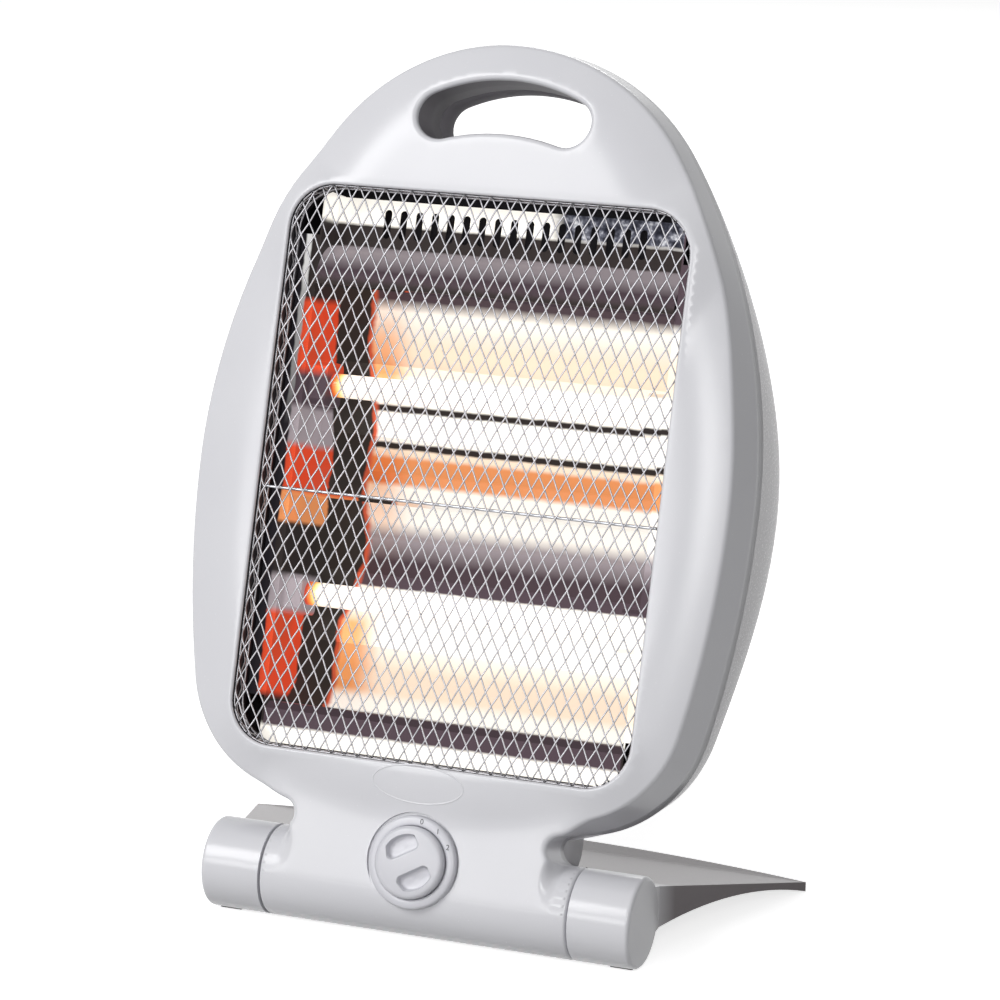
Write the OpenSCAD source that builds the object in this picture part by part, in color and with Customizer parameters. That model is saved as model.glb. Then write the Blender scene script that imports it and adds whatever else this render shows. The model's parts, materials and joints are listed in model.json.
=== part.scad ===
// Two-bar halogen heater on a folding foot.
// Row frame: +Z up, -Y the side the grille faces, origin on the floor under the middle of the part.
// The leaning body is drawn in a frame of its own: x to the right, y towards the back, z up the panel,
// with its origin on the axis of the foot barrel.

/* [Stance] */
// Lean of the body back from upright, in degrees
lean = 17.5; // [14:0.5:20]
// Outer radius of the foot barrel
barrel_r = 20; // [19:0.5:22]
// Length of the whole barrel, with both drums
barrel_len = 200; // [190:1:212]
// Length of each drum at the ends of the barrel
drum_len = 27.7; // [24:0.1:30]
// Gap between a drum and the fixed middle of the barrel
drum_gap = 0.8; // [0.5:0.1:1.5]

/* [Body outline] */
// Height of the top edge above the barrel axis
body_top = 368.5; // [364:0.5:378]
// Radius of the round top
top_r = 96.5; // [90:0.5:102]
// Width of the body at its widest
body_w = 253; // [246:1:264]
// Height of the widest point above the barrel axis
waist_z = 176; // [168:1:184]
// Radius of the sides below the widest point
lower_side_r = 450; // [400:5:520]
// Radius of the two lower corners
corner_r = 57; // [50:1:64]
// Height of the bottom edge above the barrel axis
body_bottom = 23.5; // [22.5:0.5:26]
// Radius of the bottom edge
bottom_r = 232; // [210:2:260]
// Width of the neck between the body and the barrel
neck_w = 118; // [108:1:128]

/* [Shells] */
// Wall thickness of the two shells
wall = 2.5; // [2:0.1:3]
// Radius of the rounded edge round the front face
edge_r = 9; // [7:0.5:11]
// How far the front face stands in front of the barrel axis
face_depth = 25; // [24:0.5:27]
// Width of the sloping band from the rounded edge to the flat of the face
band_w = 26; // [22:1:30]
// How far the joint between the shells lies behind the barrel axis
parting_y = 4; // [2:0.5:6]
// How far the side walls flare out from the face to the joint
flare = 1.5; // [1:0.1:2]
// Depth of the back bulge behind the barrel axis, at its deepest
back_bulge = 55; // [50:1:60]
// Depth of the back at the top, behind the handle
back_top = 22; // [20:1:25]
// Depth of the back at the bottom
back_low = 30; // [29:0.5:31]
// Distance from the deepest point up to where the bulge dies out
bulge_up = 150; // [130:5:165]
// Distance from the deepest point down to where the bulge dies out
bulge_down = 125; // [110:5:135]

/* [Handle hole] */
// Radius of the upper edge of the handle hole, about the centre of the round top
handle_r = 80; // [76:0.5:84]
// Height of the handle hole
handle_h = 24; // [22:0.5:28]
// Width of the handle hole
handle_w = 83; // [76:1:92]

/* [Grille] */
// Width of the grille opening
opening_w = 185.5; // [178:0.5:188]
// Height of the grille opening
opening_h = 247; // [238:1:250]
// Height of the opening's lower edge above the barrel axis
opening_z = 54.4; // [52:0.2:58]
// Corner radius of the opening
opening_r = 20; // [16:1:26]
// How far the mesh lies behind the flat of the face
grille_set = 1.6; // [1:0.1:3]
// Width of one mesh diamond
mesh_w = 6.2; // [5.6:0.1:9]
// Height of one mesh diamond
mesh_h = 11.8; // [10:0.1:15]
// Thickness of the mesh wire
wire_d = 0.9; // [0.8:0.1:1.2]
// Depth of the mesh's turned-back edge
return_depth = 10; // [8:0.5:12]
// Thickness of the stay wire behind the mesh
stay_d = 1.4; // [1:0.1:2]
// Height of the stay wire above the barrel axis
stay_z = 167; // [160:1:195]

/* [Bars] */
// Outside diameter of a quartz tube
tube_d = 10.5; // [9.5:0.1:12]
// Wall of a quartz tube
tube_wall = 1; // [0.8:0.1:1.3]
// Length of a quartz tube
tube_len = 180; // [174:1:188]
// Height of the upper tube above the barrel axis
upper_z = 215.5; // [212:0.5:219]
// Height of the lower tube above the barrel axis
lower_z = 122.5; // [119:0.5:126]
// How far the tubes lie behind the barrel axis
tube_y = 5; // [3:0.5:7]
// Thickness of the wound filament
filament_d = 3; // [2:0.2:4]

/* [Reflectors] */
// Sheet thickness of the metalwork
sheet = 0.8; // [0.6:0.1:1]
// Distance between the inner faces of the two end plates
bay_w = 168; // [164:1:172]
// Gap between the two reflector troughs
trough_gap = 3; // [2:0.5:5]
// Depth of a trough behind the tube
trough_back = 13; // [11:0.5:15]
// Depth of a trough in front of the tube
trough_front = 15; // [12:0.5:15]
// Width of one air slot in the top shield
slot_w = 3.6; // [3:0.2:4.4]
// Height of one air slot in the top shield
slot_h = 13; // [11:0.5:15]
// Pitch of the air slots
slot_pitch = 7.5; // [6.5:0.1:8.5]
// Number of air slots
slot_count = 17; // [11:2:19]

/* [Knob] */
// Height of the knob above the barrel axis
knob_z = 12.8; // [12:0.2:14]
// Outer radius of the dial ring
dial_r = 20.3; // [19:0.1:21]
// How far the dial ring stands out of the panel
dial_out = 3; // [2:0.2:4]
// Radius of the knob
knob_r = 15.8; // [14:0.1:16.5]
// How far the knob stands out of the panel
knob_out = 7.5; // [6:0.5:9]
// Thickness of the knob's grip bar
grip_w = 8.5; // [7:0.5:10]
// Turn of the knob from off to both bars on, in degrees
knob_turn = 60; // [40:5:80]
// Radius of the switch shaft
shaft_r = 3; // [2.5:0.1:3.5]

/* [Foot] */
// Reach of the foot plate behind the barrel axis
foot_reach = 135.5; // [135:0.5:150]
// Half width of the foot plate at its rear corners
foot_half_w = 136; // [130:1:142]
// How far the rear corners lie behind the barrel axis
foot_corner_y = 117; // [112:1:118]
// Height of the plate's top where it leaves a drum
foot_top_z = 29; // [27:0.5:31]
// Thickness of the plate's rear lip
lip_t = 2.4; // [2:0.2:4]
// Height of the arch under the plate
arch_z = 13; // [11:0.5:14]
// Distance from the barrel axis to the arch's highest point
arch_y = 46; // [42:1:50]
// Distance from the barrel axis to the rear of the cut-out for the neck
notch_y = 50; // [47:1:54]
// Radius of a pivot pin
pin_r = 5; // [4:0.5:6]
// Width of a rubber pad under a drum
pad_w = 10; // [8:1:12]

/* [Hidden] */

// colours
shell_grey = [0.86, 0.86, 0.88];
chrome_grey = [0.80, 0.80, 0.82];
steel_grey = [0.62, 0.63, 0.65];
ceramic_white = [0.78, 0.76, 0.72];
glow_orange = [1.0, 0.62, 0.30];
rubber_black = [0.12, 0.12, 0.13];

// clearances
seat_gap = 0.3;     // between fixed pieces that seat on each other
run_gap = 0.05;     // on the radius of a shaft or pin that turns
turn_gap = 0.5;     // round a turning piece
eps = 0.01;

$fn = 48;

// ---- places worked out from the sizes ----
half_w = body_w / 2;
drum_in = barrel_len / 2 - drum_len;            // inner end of a drum
mid_half = drum_in - drum_gap;                  // half length of the fixed middle
knob_front = barrel_r + knob_out;
// the part's foremost and rearmost points, from which the origin follows
fore_y = (knob_z - knob_r) * sin(lean) - knob_front * cos(lean);
axis_y = -(foot_reach + fore_y) / 2;
axis_z = barrel_r;
mesh_y = -(face_depth - grille_set);            // front of the mesh
rim_back = -8;                                  // rear edge of the wall round the grille opening
rim_wall = 2.2;
opening_mid = opening_z + opening_h / 2;
plate_y0 = rim_back + seat_gap;                 // front of the end plates' flanges
plate_y1 = tube_y + trough_back + 8;            // rear edge of the end plates
plate_z0 = opening_z + 1;
plate_z1 = opening_z + opening_h - 1;
flange_z0 = plate_z0 + 24;                      // the end plates' rear flanges
flange_z1 = plate_z1 - 38;
bay_half = bay_w / 2;
trough_h = upper_z - lower_z - trough_gap;
switch_y0 = -(barrel_r - wall) + 4;             // front of the switch body
switch_y1 = switch_y0 + 20;
switch_half = 12;
switch_lug = 8;                                 // how far a mounting lug reaches out of the switch body
lug_hole = switch_half + switch_lug / 2;
tab_pitch = 7;
tab_len = 6;
boss_wall = 1.8;
pin_in = 14;                                    // length of a pin inside the middle barrel
bush_r = pin_r + 3;
bush_len = 9;
bush_rim = 3;
washer_rim = 2;
boss_r = pin_r + 4;

// ---- frames ----
module on_floor() { translate([0, axis_y, axis_z]) children(); }
module on_body() { on_floor() rotate([-lean, 0, 0]) children(); }
// extrudes an x-z drawing from y0 back to y1
module along_y(y0, y1) { translate([0, y1, 0]) rotate([90, 0, 0]) linear_extrude(y1 - y0) children(); }
// extrudes a y-z drawing from x0 to x1
module along_x(x0, x1) { translate([x0, 0, 0]) rotate([90, 0, 90]) linear_extrude(x1 - x0) children(); }
module both_sides() { children(); mirror([1, 0, 0]) children(); }
module round_rect(w, h, r) {
    square([w - 2 * r, h], center = true);
    square([w, h - 2 * r], center = true);
    for (sx = [-1, 1], sz = [-1, 1]) translate([sx * (w / 2 - r), sz * (h / 2 - r)]) circle(r);
}

// ---- the egg outline, five tangent arcs a side ----
function bearing(p, q) = atan2(q[1] - p[1], q[0] - p[0]);
// lower crossing of two circles
function crossing(c1, r1, c2, r2) =
    let (d = norm(c2 - c1), a = (r1 * r1 - r2 * r2 + d * d) / (2 * d),
        h = sqrt(r1 * r1 - a * a), u = (c2 - c1) / d)
    c1 + a * u + h * [u[1], -u[0]];
top_c = [0, body_top - top_r];
top_rise = top_c[1] - waist_z;
side_r = (half_w * half_w + top_rise * top_rise - top_r * top_r) / (2 * (half_w - top_r));
side_c = [half_w - side_r, waist_z];
low_c = [half_w - lower_side_r, waist_z];
bottom_c = [0, body_bottom + bottom_r];
corner_c = crossing(low_c, lower_side_r - corner_r, bottom_c, bottom_r - corner_r);
a_bottom = bearing(bottom_c, corner_c);
a_low = bearing(low_c, corner_c);
a_side = bearing(side_c, top_c);
// centre, radius, first angle, last angle, steps
ARCS = [[bottom_c, bottom_r, -90, a_bottom, 5], [corner_c, corner_r, a_bottom, a_low, 8],
    [low_c, lower_side_r, a_low, 0, 4], [side_c, side_r, 0, a_side, 6], [top_c, top_r, a_side, 90, 9]];
function half_egg(d) = [for (a = ARCS, i = [0 : a[4] - 1])
    let (t = a[2] + (a[3] - a[2]) * i / a[4]) a[0] + (a[1] - d) * [cos(t), sin(t)]];
// the outline drawn in by d, anticlockwise from the bottom
function egg(d) = let (h = half_egg(d), n = len(h))
    concat(h, [[0, body_top - d]], [for (i = [n - 1 : -1 : 1]) [-h[i][0], h[i][1]]]);

// a solid between rings of like points, each ring symmetric left to right and ordered back to front
module loft(rings) {
    m = len(rings[0]);
    last = len(rings) - 1;
    function cap(k, flip) = [for (i = [0 : m / 2 - 1])
        for (f = i == 0 ? [[0, 1, m - 1]] : i == m / 2 - 1 ? [[i, i + 1, m - i]]
            : [[i, i + 1, m - i - 1], [i, m - i - 1, m - i]])
        [for (j = flip ? [2, 1, 0] : [0, 1, 2]) k * m + f[j]]];
    sides = [for (k = [0 : last - 1], i = [0 : m - 1]) let (j = (i + 1) % m)
        for (f = [[k * m + i, (k + 1) * m + i, (k + 1) * m + j], [k * m + i, (k + 1) * m + j, k * m + j]]) f];
    polyhedron([for (r = rings) each r], concat(cap(0, false), sides, cap(last, true)));
}

// front face: draw-in and height over the barrel axis along the rounded edge, then the sloping band
edge_rise = face_depth - edge_r - 6;
EDGE_ANGLES = [8, 23, 38, 52, 66];
function front_profile(t) = concat(
    [for (a = EDGE_ANGLES) [t + (edge_r - t) * (1 - cos(a)), edge_rise + (edge_r - t) * sin(a)]],
    [[12, face_depth - 3.4 - t], [18, face_depth - 1.4 - t], [band_w, face_depth - t]]);
// the face runs level with the barrel where the neck leaves it
function neck_share(p) = p[1] > body_bottom + 60 ? 0
    : max(0, min(1, (neck_w / 2 + 12 - abs(p[0])) / 14));
function lifted(p, out, t) = out + max(0, barrel_r - 0.1 - t - out) * neck_share(p);
function front_ring(d, out, t) = [for (p = egg(d)) [p[0], -lifted(p, out, t), p[1]]];
function flat_ring(d, y) = [for (p = egg(d)) [p[0], y, p[1]]];
module front_body(t, y_joint) {
    loft(concat([flat_ring(t - flare, y_joint)], [for (f = front_profile(t)) front_ring(f[0], f[1], t)]));
}

// back: the bulge fades out upwards and downwards
function back_depth(z) = z > waist_z
    ? back_top + (back_bulge - back_top) * (1 + cos(180 * min(1, (z - waist_z) / bulge_up))) / 2
    : back_low + (back_bulge - back_low) * (1 + cos(180 * min(1, (waist_z - z) / bulge_down))) / 2;
// draw-in and share of the local depth
BACK_PROFILE = [[17, 1], [10, 0.965], [5.5, 0.9], [2.6, 0.8], [0.8, 0.6], [-0.6, 0.3]];
function back_ring(d, share, t) = [for (p = egg(d))
    [p[0], parting_y + share * (back_depth(p[1]) - t - parting_y), p[1]]];
module back_body(t, y_joint) {
    loft(concat([back_ring(40, 1.02, t)],
        [for (b = BACK_PROFILE) back_ring(t + b[0], b[1], t)], [flat_ring(t - flare, y_joint)]));
}

// barrel middle and neck, t inside the outer surface
module neck_front(t) {
    along_x(t - mid_half, mid_half - t) difference() {
        circle(barrel_r - t);
        translate([parting_y, -2 * barrel_r]) square(4 * barrel_r);
    }
    along_x(t - neck_w / 2, neck_w / 2 - t) translate([t - barrel_r, 0])
        square([barrel_r - t + parting_y, body_bottom + 8]);
}
module neck_back(t) {
    along_x(t - mid_half, mid_half - t) intersection() {
        circle(barrel_r - t);
        translate([parting_y, -2 * barrel_r]) square(4 * barrel_r);
    }
    top = body_bottom + 12;
    along_x(t - neck_w / 2, neck_w / 2 - t) polygon([[parting_y, t],
        [0.75 * barrel_r - t, barrel_r / 2 + t / 2], [back_low - t, barrel_r + t],
        [back_low - t, top + t], [parting_y, top + t]]);
}
module pivot_holes() { along_x(-barrel_len / 2, barrel_len / 2) circle(bush_r + run_gap); }

// ---- handle hole, an arched slot about the centre of the round top ----
handle_mid = handle_r - handle_h / 2;
handle_a = asin((handle_w - handle_h) / 2 / handle_mid);
module handle_slot(grow) {
    translate(top_c) {
        difference() {
            intersection() {
                circle(handle_r + grow);
                polygon([[0, 0], 2 * handle_r * [-sin(handle_a), cos(handle_a)],
                    2 * handle_r * [sin(handle_a), cos(handle_a)]]);
            }
            circle(handle_r - handle_h - grow);
        }
        for (s = [-1, 1]) translate(handle_mid * [s * sin(handle_a), cos(handle_a)])
            circle(handle_h / 2 + grow);
    }
}

// ---- where the shells are screwed together: x, z ----
SCREWS = [[-106, 110], [106, 110], [-70, 318], [70, 318], [0, 312]];
screw_r = 1.6;
screw_head_r = 3.2;
post_r = 4;
post_back = parting_y + 7;       // seat of the screw heads
module at_screws() { for (s = SCREWS) translate([s[0], 0, s[1]]) children(); }

module grille_hole(grow) {
    translate([0, opening_mid]) round_rect(opening_w + 2 * grow, opening_h + 2 * grow, opening_r + grow);
}

module front_housing() {
    color(shell_grey) on_body() difference() {
        union() {
            difference() {
                union() {
                    front_body(0, parting_y);
                    neck_front(0);
                }
                front_body(wall, parting_y + 1);
                neck_front(wall);
                translate([0, 1, 0]) neck_front(wall);
            }
            intersection() {
                front_body(0, parting_y);
                union() {
                    along_y(-face_depth, rim_back) difference() {
                        grille_hole(rim_wall);
                        grille_hole(0);
                    }
                    along_y(-face_depth, parting_y) difference() {
                        handle_slot(wall);
                        handle_slot(0);
                    }
                    at_screws() along_y(-face_depth, parting_y) circle(post_r);
                }
            }
            both_sides() along_y(-(barrel_r - wall / 2), switch_y0) translate([lug_hole, knob_z])
                circle(boss_wall + 1.2);
            along_y(-barrel_r, -barrel_r + wall) translate([0, knob_z]) circle(dial_r - 0.5);
        }
        along_y(-face_depth - 1, parting_y) {
            grille_hole(0);
            handle_slot(0);
        }
        along_y(-2 * barrel_r, 0) translate([0, knob_z]) circle(shaft_r + boss_wall);
        along_y(-2 * barrel_r, -barrel_r) translate([0, knob_z]) circle(dial_r + seat_gap);
        at_screws() along_y(-10, parting_y + 1) circle(screw_r);
        both_sides() along_y(switch_y0 - 6, switch_y0 + 1) translate([lug_hole, knob_z]) circle(1.2);
        pivot_holes();
    }
}

// air slots through the back, two rows
vent_w = 5;
vent_h = 26;
vent_pitch = 13;
VENT_ROWS = [[90, 3], [262, 4]];      // height of a row, slots each side of the middle one
module vents() {
    for (row = VENT_ROWS, i = [-row[1] : row[1]])
        along_y(parting_y + 12, 2 * back_bulge) translate([i * vent_pitch, row[0]])
            round_rect(vent_w, vent_h, vent_w / 2 - eps);
}
cord_x = 40;
cord_z = 66;
cord_r = 5;

module rear_housing() {
    color(shell_grey) on_body() difference() {
        union() {
            difference() {
                union() {
                    back_body(0, parting_y);
                    neck_back(0);
                }
                back_body(wall, parting_y - 1);
                neck_back(wall);
                translate([0, -1, 0]) neck_back(wall);
            }
            intersection() {
                back_body(0, parting_y);
                union() {
                    along_y(parting_y, back_bulge) difference() {
                        handle_slot(wall);
                        handle_slot(0);
                    }
                    at_screws() along_y(parting_y, back_bulge) circle(screw_head_r + 2);
                }
            }
        }
        along_y(parting_y - 1, 2 * back_bulge) handle_slot(0);
        at_screws() {
            along_y(parting_y - 1, post_back + 1) circle(screw_r + 0.2);
            along_y(post_back, 2 * back_bulge) circle(screw_head_r + 0.4);
        }
        vents();
        along_y(parting_y + 12, 2 * back_bulge) translate([cord_x, cord_z]) circle(cord_r + 2);
        pivot_holes();
    }
}

layer_step = wire_d + 0.05;      // from one layer of wires to the next
// one family of slanting wires, clipped to the mesh outline; side picks the slant
module slanting_wires(w, h, r, side) {
    count = ceil((w / mesh_w + h / mesh_h) / 2);
    intersection() {
        round_rect(w, h, r);
        for (i = [-count : count]) translate([(i + 0.5) * mesh_w, 0]) rotate(-side * atan(mesh_w / mesh_h))
            square([wire_d, 2 * h], center = true);
    }
}
// a turned-back edge seen square on, with the rows of half diamonds left open
module turned_edge(span, pitch, half, rise) {
    reach = floor(span / 2 / pitch);
    difference() {
        translate([-span / 2, 0]) square([span, return_depth]);
        for (i = [-reach : reach]) if (abs(i) * pitch + half < span / 2)
            translate([i * pitch, return_depth / 2]) polygon([[half, 0], [0, rise], [-half, 0], [0, -rise]]);
    }
}
module grille() {
    w = opening_w - 2 * seat_gap;
    h = opening_h - 2 * seat_gap;
    r = opening_r - seat_gap;
    rise = return_depth / 2 - wire_d;
    color(chrome_grey) on_body() translate([0, 0, opening_mid]) {
        for (k = [0, 1]) along_y(mesh_y + k * layer_step, mesh_y + k * layer_step + wire_d)
            slanting_wires(w - wire_d, h - wire_d, r - wire_d / 2, 2 * k - 1);
        along_y(mesh_y, mesh_y + return_depth) difference() {
            round_rect(w, h, r);
            round_rect(w - 2 * wire_d, h - 2 * wire_d, r - wire_d);
            square([w - 2 * r, 2 * h], center = true);
            square([2 * w, h - 2 * r], center = true);
        }
        both_sides() translate([w / 2 - wire_d, mesh_y, 0]) rotate([90, 0, 90]) linear_extrude(wire_d)
            rotate(-90) mirror([1, 0]) turned_edge(h - 2 * r, mesh_h, mesh_h / 2 - wire_d, rise);
        for (s = [-1, 1]) translate([0, mesh_y, s * (h / 2 - wire_d / 2) - wire_d / 2]) linear_extrude(wire_d)
            turned_edge(w - 2 * r, mesh_w, mesh_w / 2 - wire_d, rise);
    }
}

module grille_stay_wire() {
    reach = opening_w / 2 - seat_gap - wire_d - 0.1;
    color(chrome_grey) on_body() along_x(-reach, reach)
        translate([mesh_y + layer_step + wire_d + stay_d / 2 + 0.1, stay_z]) circle(stay_d / 2);
}

module at_knob() { on_body() translate([0, -barrel_r, knob_z]) rotate([90, 0, 0]) children(); }

module dial_ring() {
    color(shell_grey) at_knob() rotate_extrude()
        translate([knob_r + turn_gap, 0.1]) difference() {
            square([dial_r - knob_r - turn_gap, dial_out]);
            translate([dial_r - knob_r - turn_gap, dial_out]) rotate(45) square(1.4, center = true);
        }
}

scoop_r = knob_r - 3;
scoop_deep = knob_out - 3;
module knob() {
    // the grip bar points at the chosen number; at rest both bars are on
    color(shell_grey) at_knob() rotate(-knob_turn) difference() {
        translate([0, 0, 1]) rotate_extrude() difference() {
            square([knob_r, knob_out - 1]);
            translate([knob_r, knob_out - 1]) rotate(45) square(2, center = true);
        }
        for (s = [-1, 1]) translate([0, 0, knob_out]) intersection() {
            translate([0, 0, -scoop_deep]) cylinder(r = scoop_r, h = 2 * scoop_deep);
            translate([s * (grip_w / 2 + scoop_r), 0, 0])
                cube([2 * scoop_r, 3 * scoop_r, 4 * scoop_deep], center = true);
            translate([s * (grip_w / 2 + scoop_r / 2), 0, scoop_r - scoop_deep + 0.5]) sphere(scoop_r);
        }
        translate([0, 0, -1]) cylinder(r = shaft_r + run_gap, h = 3.5);
    }
}

module switch_shaft() {
    color(steel_grey) at_knob() translate([0, 0, -(switch_y1 + barrel_r) + 3])
        cylinder(r = shaft_r, h = switch_y1 + barrel_r - 3 + 2.3);
}

module rotary_switch() {
    color(rubber_black) on_body() difference() {
        union() {
            along_y(switch_y0 + seat_gap, switch_y1) translate([0, knob_z])
                round_rect(2 * switch_half, 2 * switch_half - 4, 3);
            along_y(switch_y0 + seat_gap, switch_y0 + 2) translate([0, knob_z])
                square([2 * (switch_half + switch_lug), switch_lug], center = true);
            for (i = [-1, 0, 1]) translate([i * tab_pitch - tab_pitch / 4, switch_y1 - eps, knob_z - sheet / 2])
                cube([tab_pitch / 2, tab_len, sheet]);
        }
        along_y(switch_y0 - 1, switch_y1 - 2) translate([0, knob_z]) circle(shaft_r + run_gap);
        both_sides() along_y(switch_y0, switch_y0 + 3) translate([lug_hole, knob_z]) circle(1.5);
    }
}

module switch_screws() {
    color(steel_grey) on_body() both_sides() translate([lug_hole, 0, knob_z]) {
        along_y(switch_y0 - 5, switch_y0 + 2.1) circle(1.15);
        along_y(switch_y0 + 2.05, switch_y0 + 3.5) circle(2.4);
    }
}

module tube_at(z) { on_body() translate([0, tube_y, z]) rotate([0, 90, 0]) children(); }
module quartz_tube(z) {
    color(glow_orange) tube_at(z) difference() {
        cylinder(d = tube_d, h = tube_len, center = true);
        cylinder(d = tube_d - 2 * tube_wall, h = tube_len + 1, center = true);
    }
}
module upper_tube() { quartz_tube(upper_z); }
module lower_tube() { quartz_tube(lower_z); }

cap_t = 3;
module filament(z) {
    color(steel_grey) tube_at(z) cylinder(d = filament_d, h = tube_len + 2 * seat_gap - 0.4, center = true);
}
module upper_filament() { filament(upper_z); }
module lower_filament() { filament(lower_z); }

module tube_end_caps() {
    color(steel_grey) for (z = [lower_z, upper_z]) tube_at(z) for (s = [0, 1]) mirror([0, 0, s])
        translate([0, 0, tube_len / 2 + seat_gap]) {
            cylinder(d = tube_d, h = cap_t);
            cylinder(r = 1.5, h = cap_t + 6);
        }
}

holder_w = 9;
module ceramic_holders() {
    color(ceramic_white) on_body() for (z = [lower_z, upper_z]) both_sides()
        along_x(bay_half - holder_w - seat_gap, bay_half - seat_gap) translate([tube_y, z]) difference() {
            round_rect(tube_d + 7, tube_d + 9, 3);
            circle(d = tube_d + 0.2);
        }
}

flange_w = 8;
module end_plate() {
    color(steel_grey) on_body() {
        // the rear edge draws in towards the ends, where the back of the shell is shallow
        along_x(bay_half, bay_half + sheet) difference() {
            polygon([[plate_y0, plate_z0], [plate_y1 - 7, plate_z0], [plate_y1, flange_z0 - 4],
                [plate_y1, flange_z1 + 4], [plate_y1 - 12, plate_z1], [plate_y0, plate_z1]]);
            for (z = [lower_z, upper_z]) translate([tube_y, z]) circle(d = tube_d + 0.6);
        }
        translate([bay_half, plate_y0, plate_z0 + opening_r])
            cube([opening_w / 2 + rim_wall - bay_half, sheet, plate_z1 - plate_z0 - 2 * opening_r]);
        translate([bay_half, plate_y1 - sheet, flange_z0]) cube([flange_w, sheet, flange_z1 - flange_z0]);
    }
}
module end_plate_right() { end_plate(); }
module end_plate_left() { mirror([1, 0, 0]) end_plate(); }

// a folded strip: points along one face, thickened by t towards the left of the path
function turn_left(v) = [-v[1], v[0]] / norm(v);
function mitre(p, i, t) = let (a = turn_left(p[max(i, 1)] - p[max(i, 1) - 1]),
        b = turn_left(p[min(i, len(p) - 2) + 1] - p[min(i, len(p) - 2)]))
    p[i] + t * (a + b) / (1 + a * b);
module folded(p, t) {
    polygon(concat(p, [for (i = [len(p) - 1 : -1 : 0]) mitre(p, i, t)]));
}
// trough section round a tube at the origin: back flat, two slopes a side
TROUGH = [[-trough_front, -trough_h / 2], [trough_back - 10, -trough_h / 2 + 12], [trough_back, -trough_h / 2 + 28],
    [trough_back, trough_h / 2 - 30], [trough_back - 11, trough_h / 2 - 14], [-trough_front, trough_h / 2]];
trough_reach = bay_half - seat_gap;
module trough(z) {
    color(chrome_grey) on_body() along_x(-trough_reach, trough_reach)
        translate([tube_y, z - 3]) folded(TROUGH, -sheet);
}
module upper_reflector() { trough(upper_z); }
module lower_reflector() { trough(lower_z); }

// top shield: a rolled lip over the upper trough, then the slotted upright
lip_y0 = tube_y - trough_front;
shield_z0 = upper_z - 3 + trough_h / 2 + seat_gap + 1;
roll_r = 19;
slot_z = (shield_z0 + roll_r + plate_z1) / 2;    // the slots lie midway up the upright
slot_len = min(slot_h, plate_z1 - shield_z0 - roll_r - 3 * slot_w / 2);
module top_shield() {
    color(chrome_grey) on_body() difference() {
        union() {
            along_x(-trough_reach, trough_reach) intersection() {
                translate([lip_y0 + roll_r, shield_z0]) difference() {
                    circle(roll_r);
                    circle(roll_r - sheet);
                }
                translate([lip_y0, shield_z0]) square([roll_r, roll_r]);
            }
            along_x(-trough_reach, trough_reach) translate([lip_y0 + roll_r - sheet, shield_z0 + roll_r - sheet])
                square([sheet, plate_z1 - shield_z0 - roll_r]);
        }
        for (i = [-(slot_count - 1) / 2 : (slot_count - 1) / 2])
            along_y(lip_y0 + roll_r - 3, lip_y0 + roll_r + 2)
                translate([i * slot_pitch, slot_z]) round_rect(slot_w, slot_len, slot_w / 2 - eps);
    }
}

bottom_z1 = lower_z - 3 - trough_h / 2 - seat_gap - 1;
module bottom_shield() {
    color(chrome_grey) on_body() along_x(-trough_reach, trough_reach)
        folded([[plate_y0, plate_z0], [plate_y0, bottom_z1 - 3], [plate_y0 + 4, bottom_z1],
            [plate_y1 - 4, bottom_z1]], -sheet);
}

shield_y = plate_y1 + seat_gap;
module heat_shield() {
    color(steel_grey) on_body() translate([-bay_half - flange_w, shield_y, flange_z0])
        cube([bay_w + 2 * flange_w, sheet, flange_z1 - flange_z0]);
}

cutout_r = 7;
module thermal_cutout() {
    color(rubber_black) on_body() translate([-bay_half / 2, 0, (upper_z + flange_z1) / 2]) {
        along_y(shield_y + sheet + seat_gap, shield_y + sheet + seat_gap + 1)
            square([4 * cutout_r, cutout_r + 1], center = true);
        along_y(shield_y + sheet + seat_gap + 0.9, shield_y + sheet + cutout_r) circle(cutout_r);
    }
}

block_d = 12;
module terminal_block() {
    color(ceramic_white) on_body() translate([18, back_low - wall - seat_gap - block_d, body_bottom + 2])
        difference() {
            cube([30, block_d, 10]);
            for (i = [0 : 2]) translate([5 + i * 10, -1, 5]) rotate([-90, 0, 0]) cylinder(r = 2, h = block_d + 2);
        }
}

module cord_grommet() {
    y_in = back_depth(cord_z) - wall;
    color(rubber_black) on_body() translate([cord_x, y_in, cord_z]) rotate([-90, 0, 0]) difference() {
        union() {
            translate([0, 0, -2.5]) cylinder(r = cord_r + 1.9, h = wall + 4.5);
            translate([0, 0, -2.5]) cylinder(r = cord_r + 3.5, h = 2);
        }
        translate([0, 0, -5]) cylinder(r = cord_r - 1.5, h = wall + 12);
    }
}

// tilt switch: a cased contact with a weight that hangs plumb while the heater stands
tip_x = -12;
tip_z = waist_z;
tip_case_h = 16;
tip_y1 = back_depth(tip_z + tip_case_h / 2) - wall - seat_gap;     // rear of the case, on the back wall
tip_case_d = 20;
tip_y = tip_y1 - tip_case_d + 4;
tip_pin_r = 1.5;
module tip_switch() {
    color(rubber_black) on_body() difference() {
        translate([tip_x + 3, tip_y1 - tip_case_d, tip_z - tip_case_h / 2]) cube([14, tip_case_d, tip_case_h]);
        translate([tip_x, tip_y, tip_z]) rotate([0, 90, 0]) cylinder(r = tip_pin_r + run_gap, h = 8);
    }
}
module tip_weight() {
    color(steel_grey) on_body() translate([tip_x, tip_y, tip_z]) rotate([lean, 0, 0]) {
        rotate([0, 90, 0]) translate([0, 0, -4]) cylinder(r = tip_pin_r, h = 11);
        translate([-3.5, -1.5, -14]) cube([3, 3, 14]);
        translate([-2, 0, -16]) sphere(r = 4);
    }
}

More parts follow.
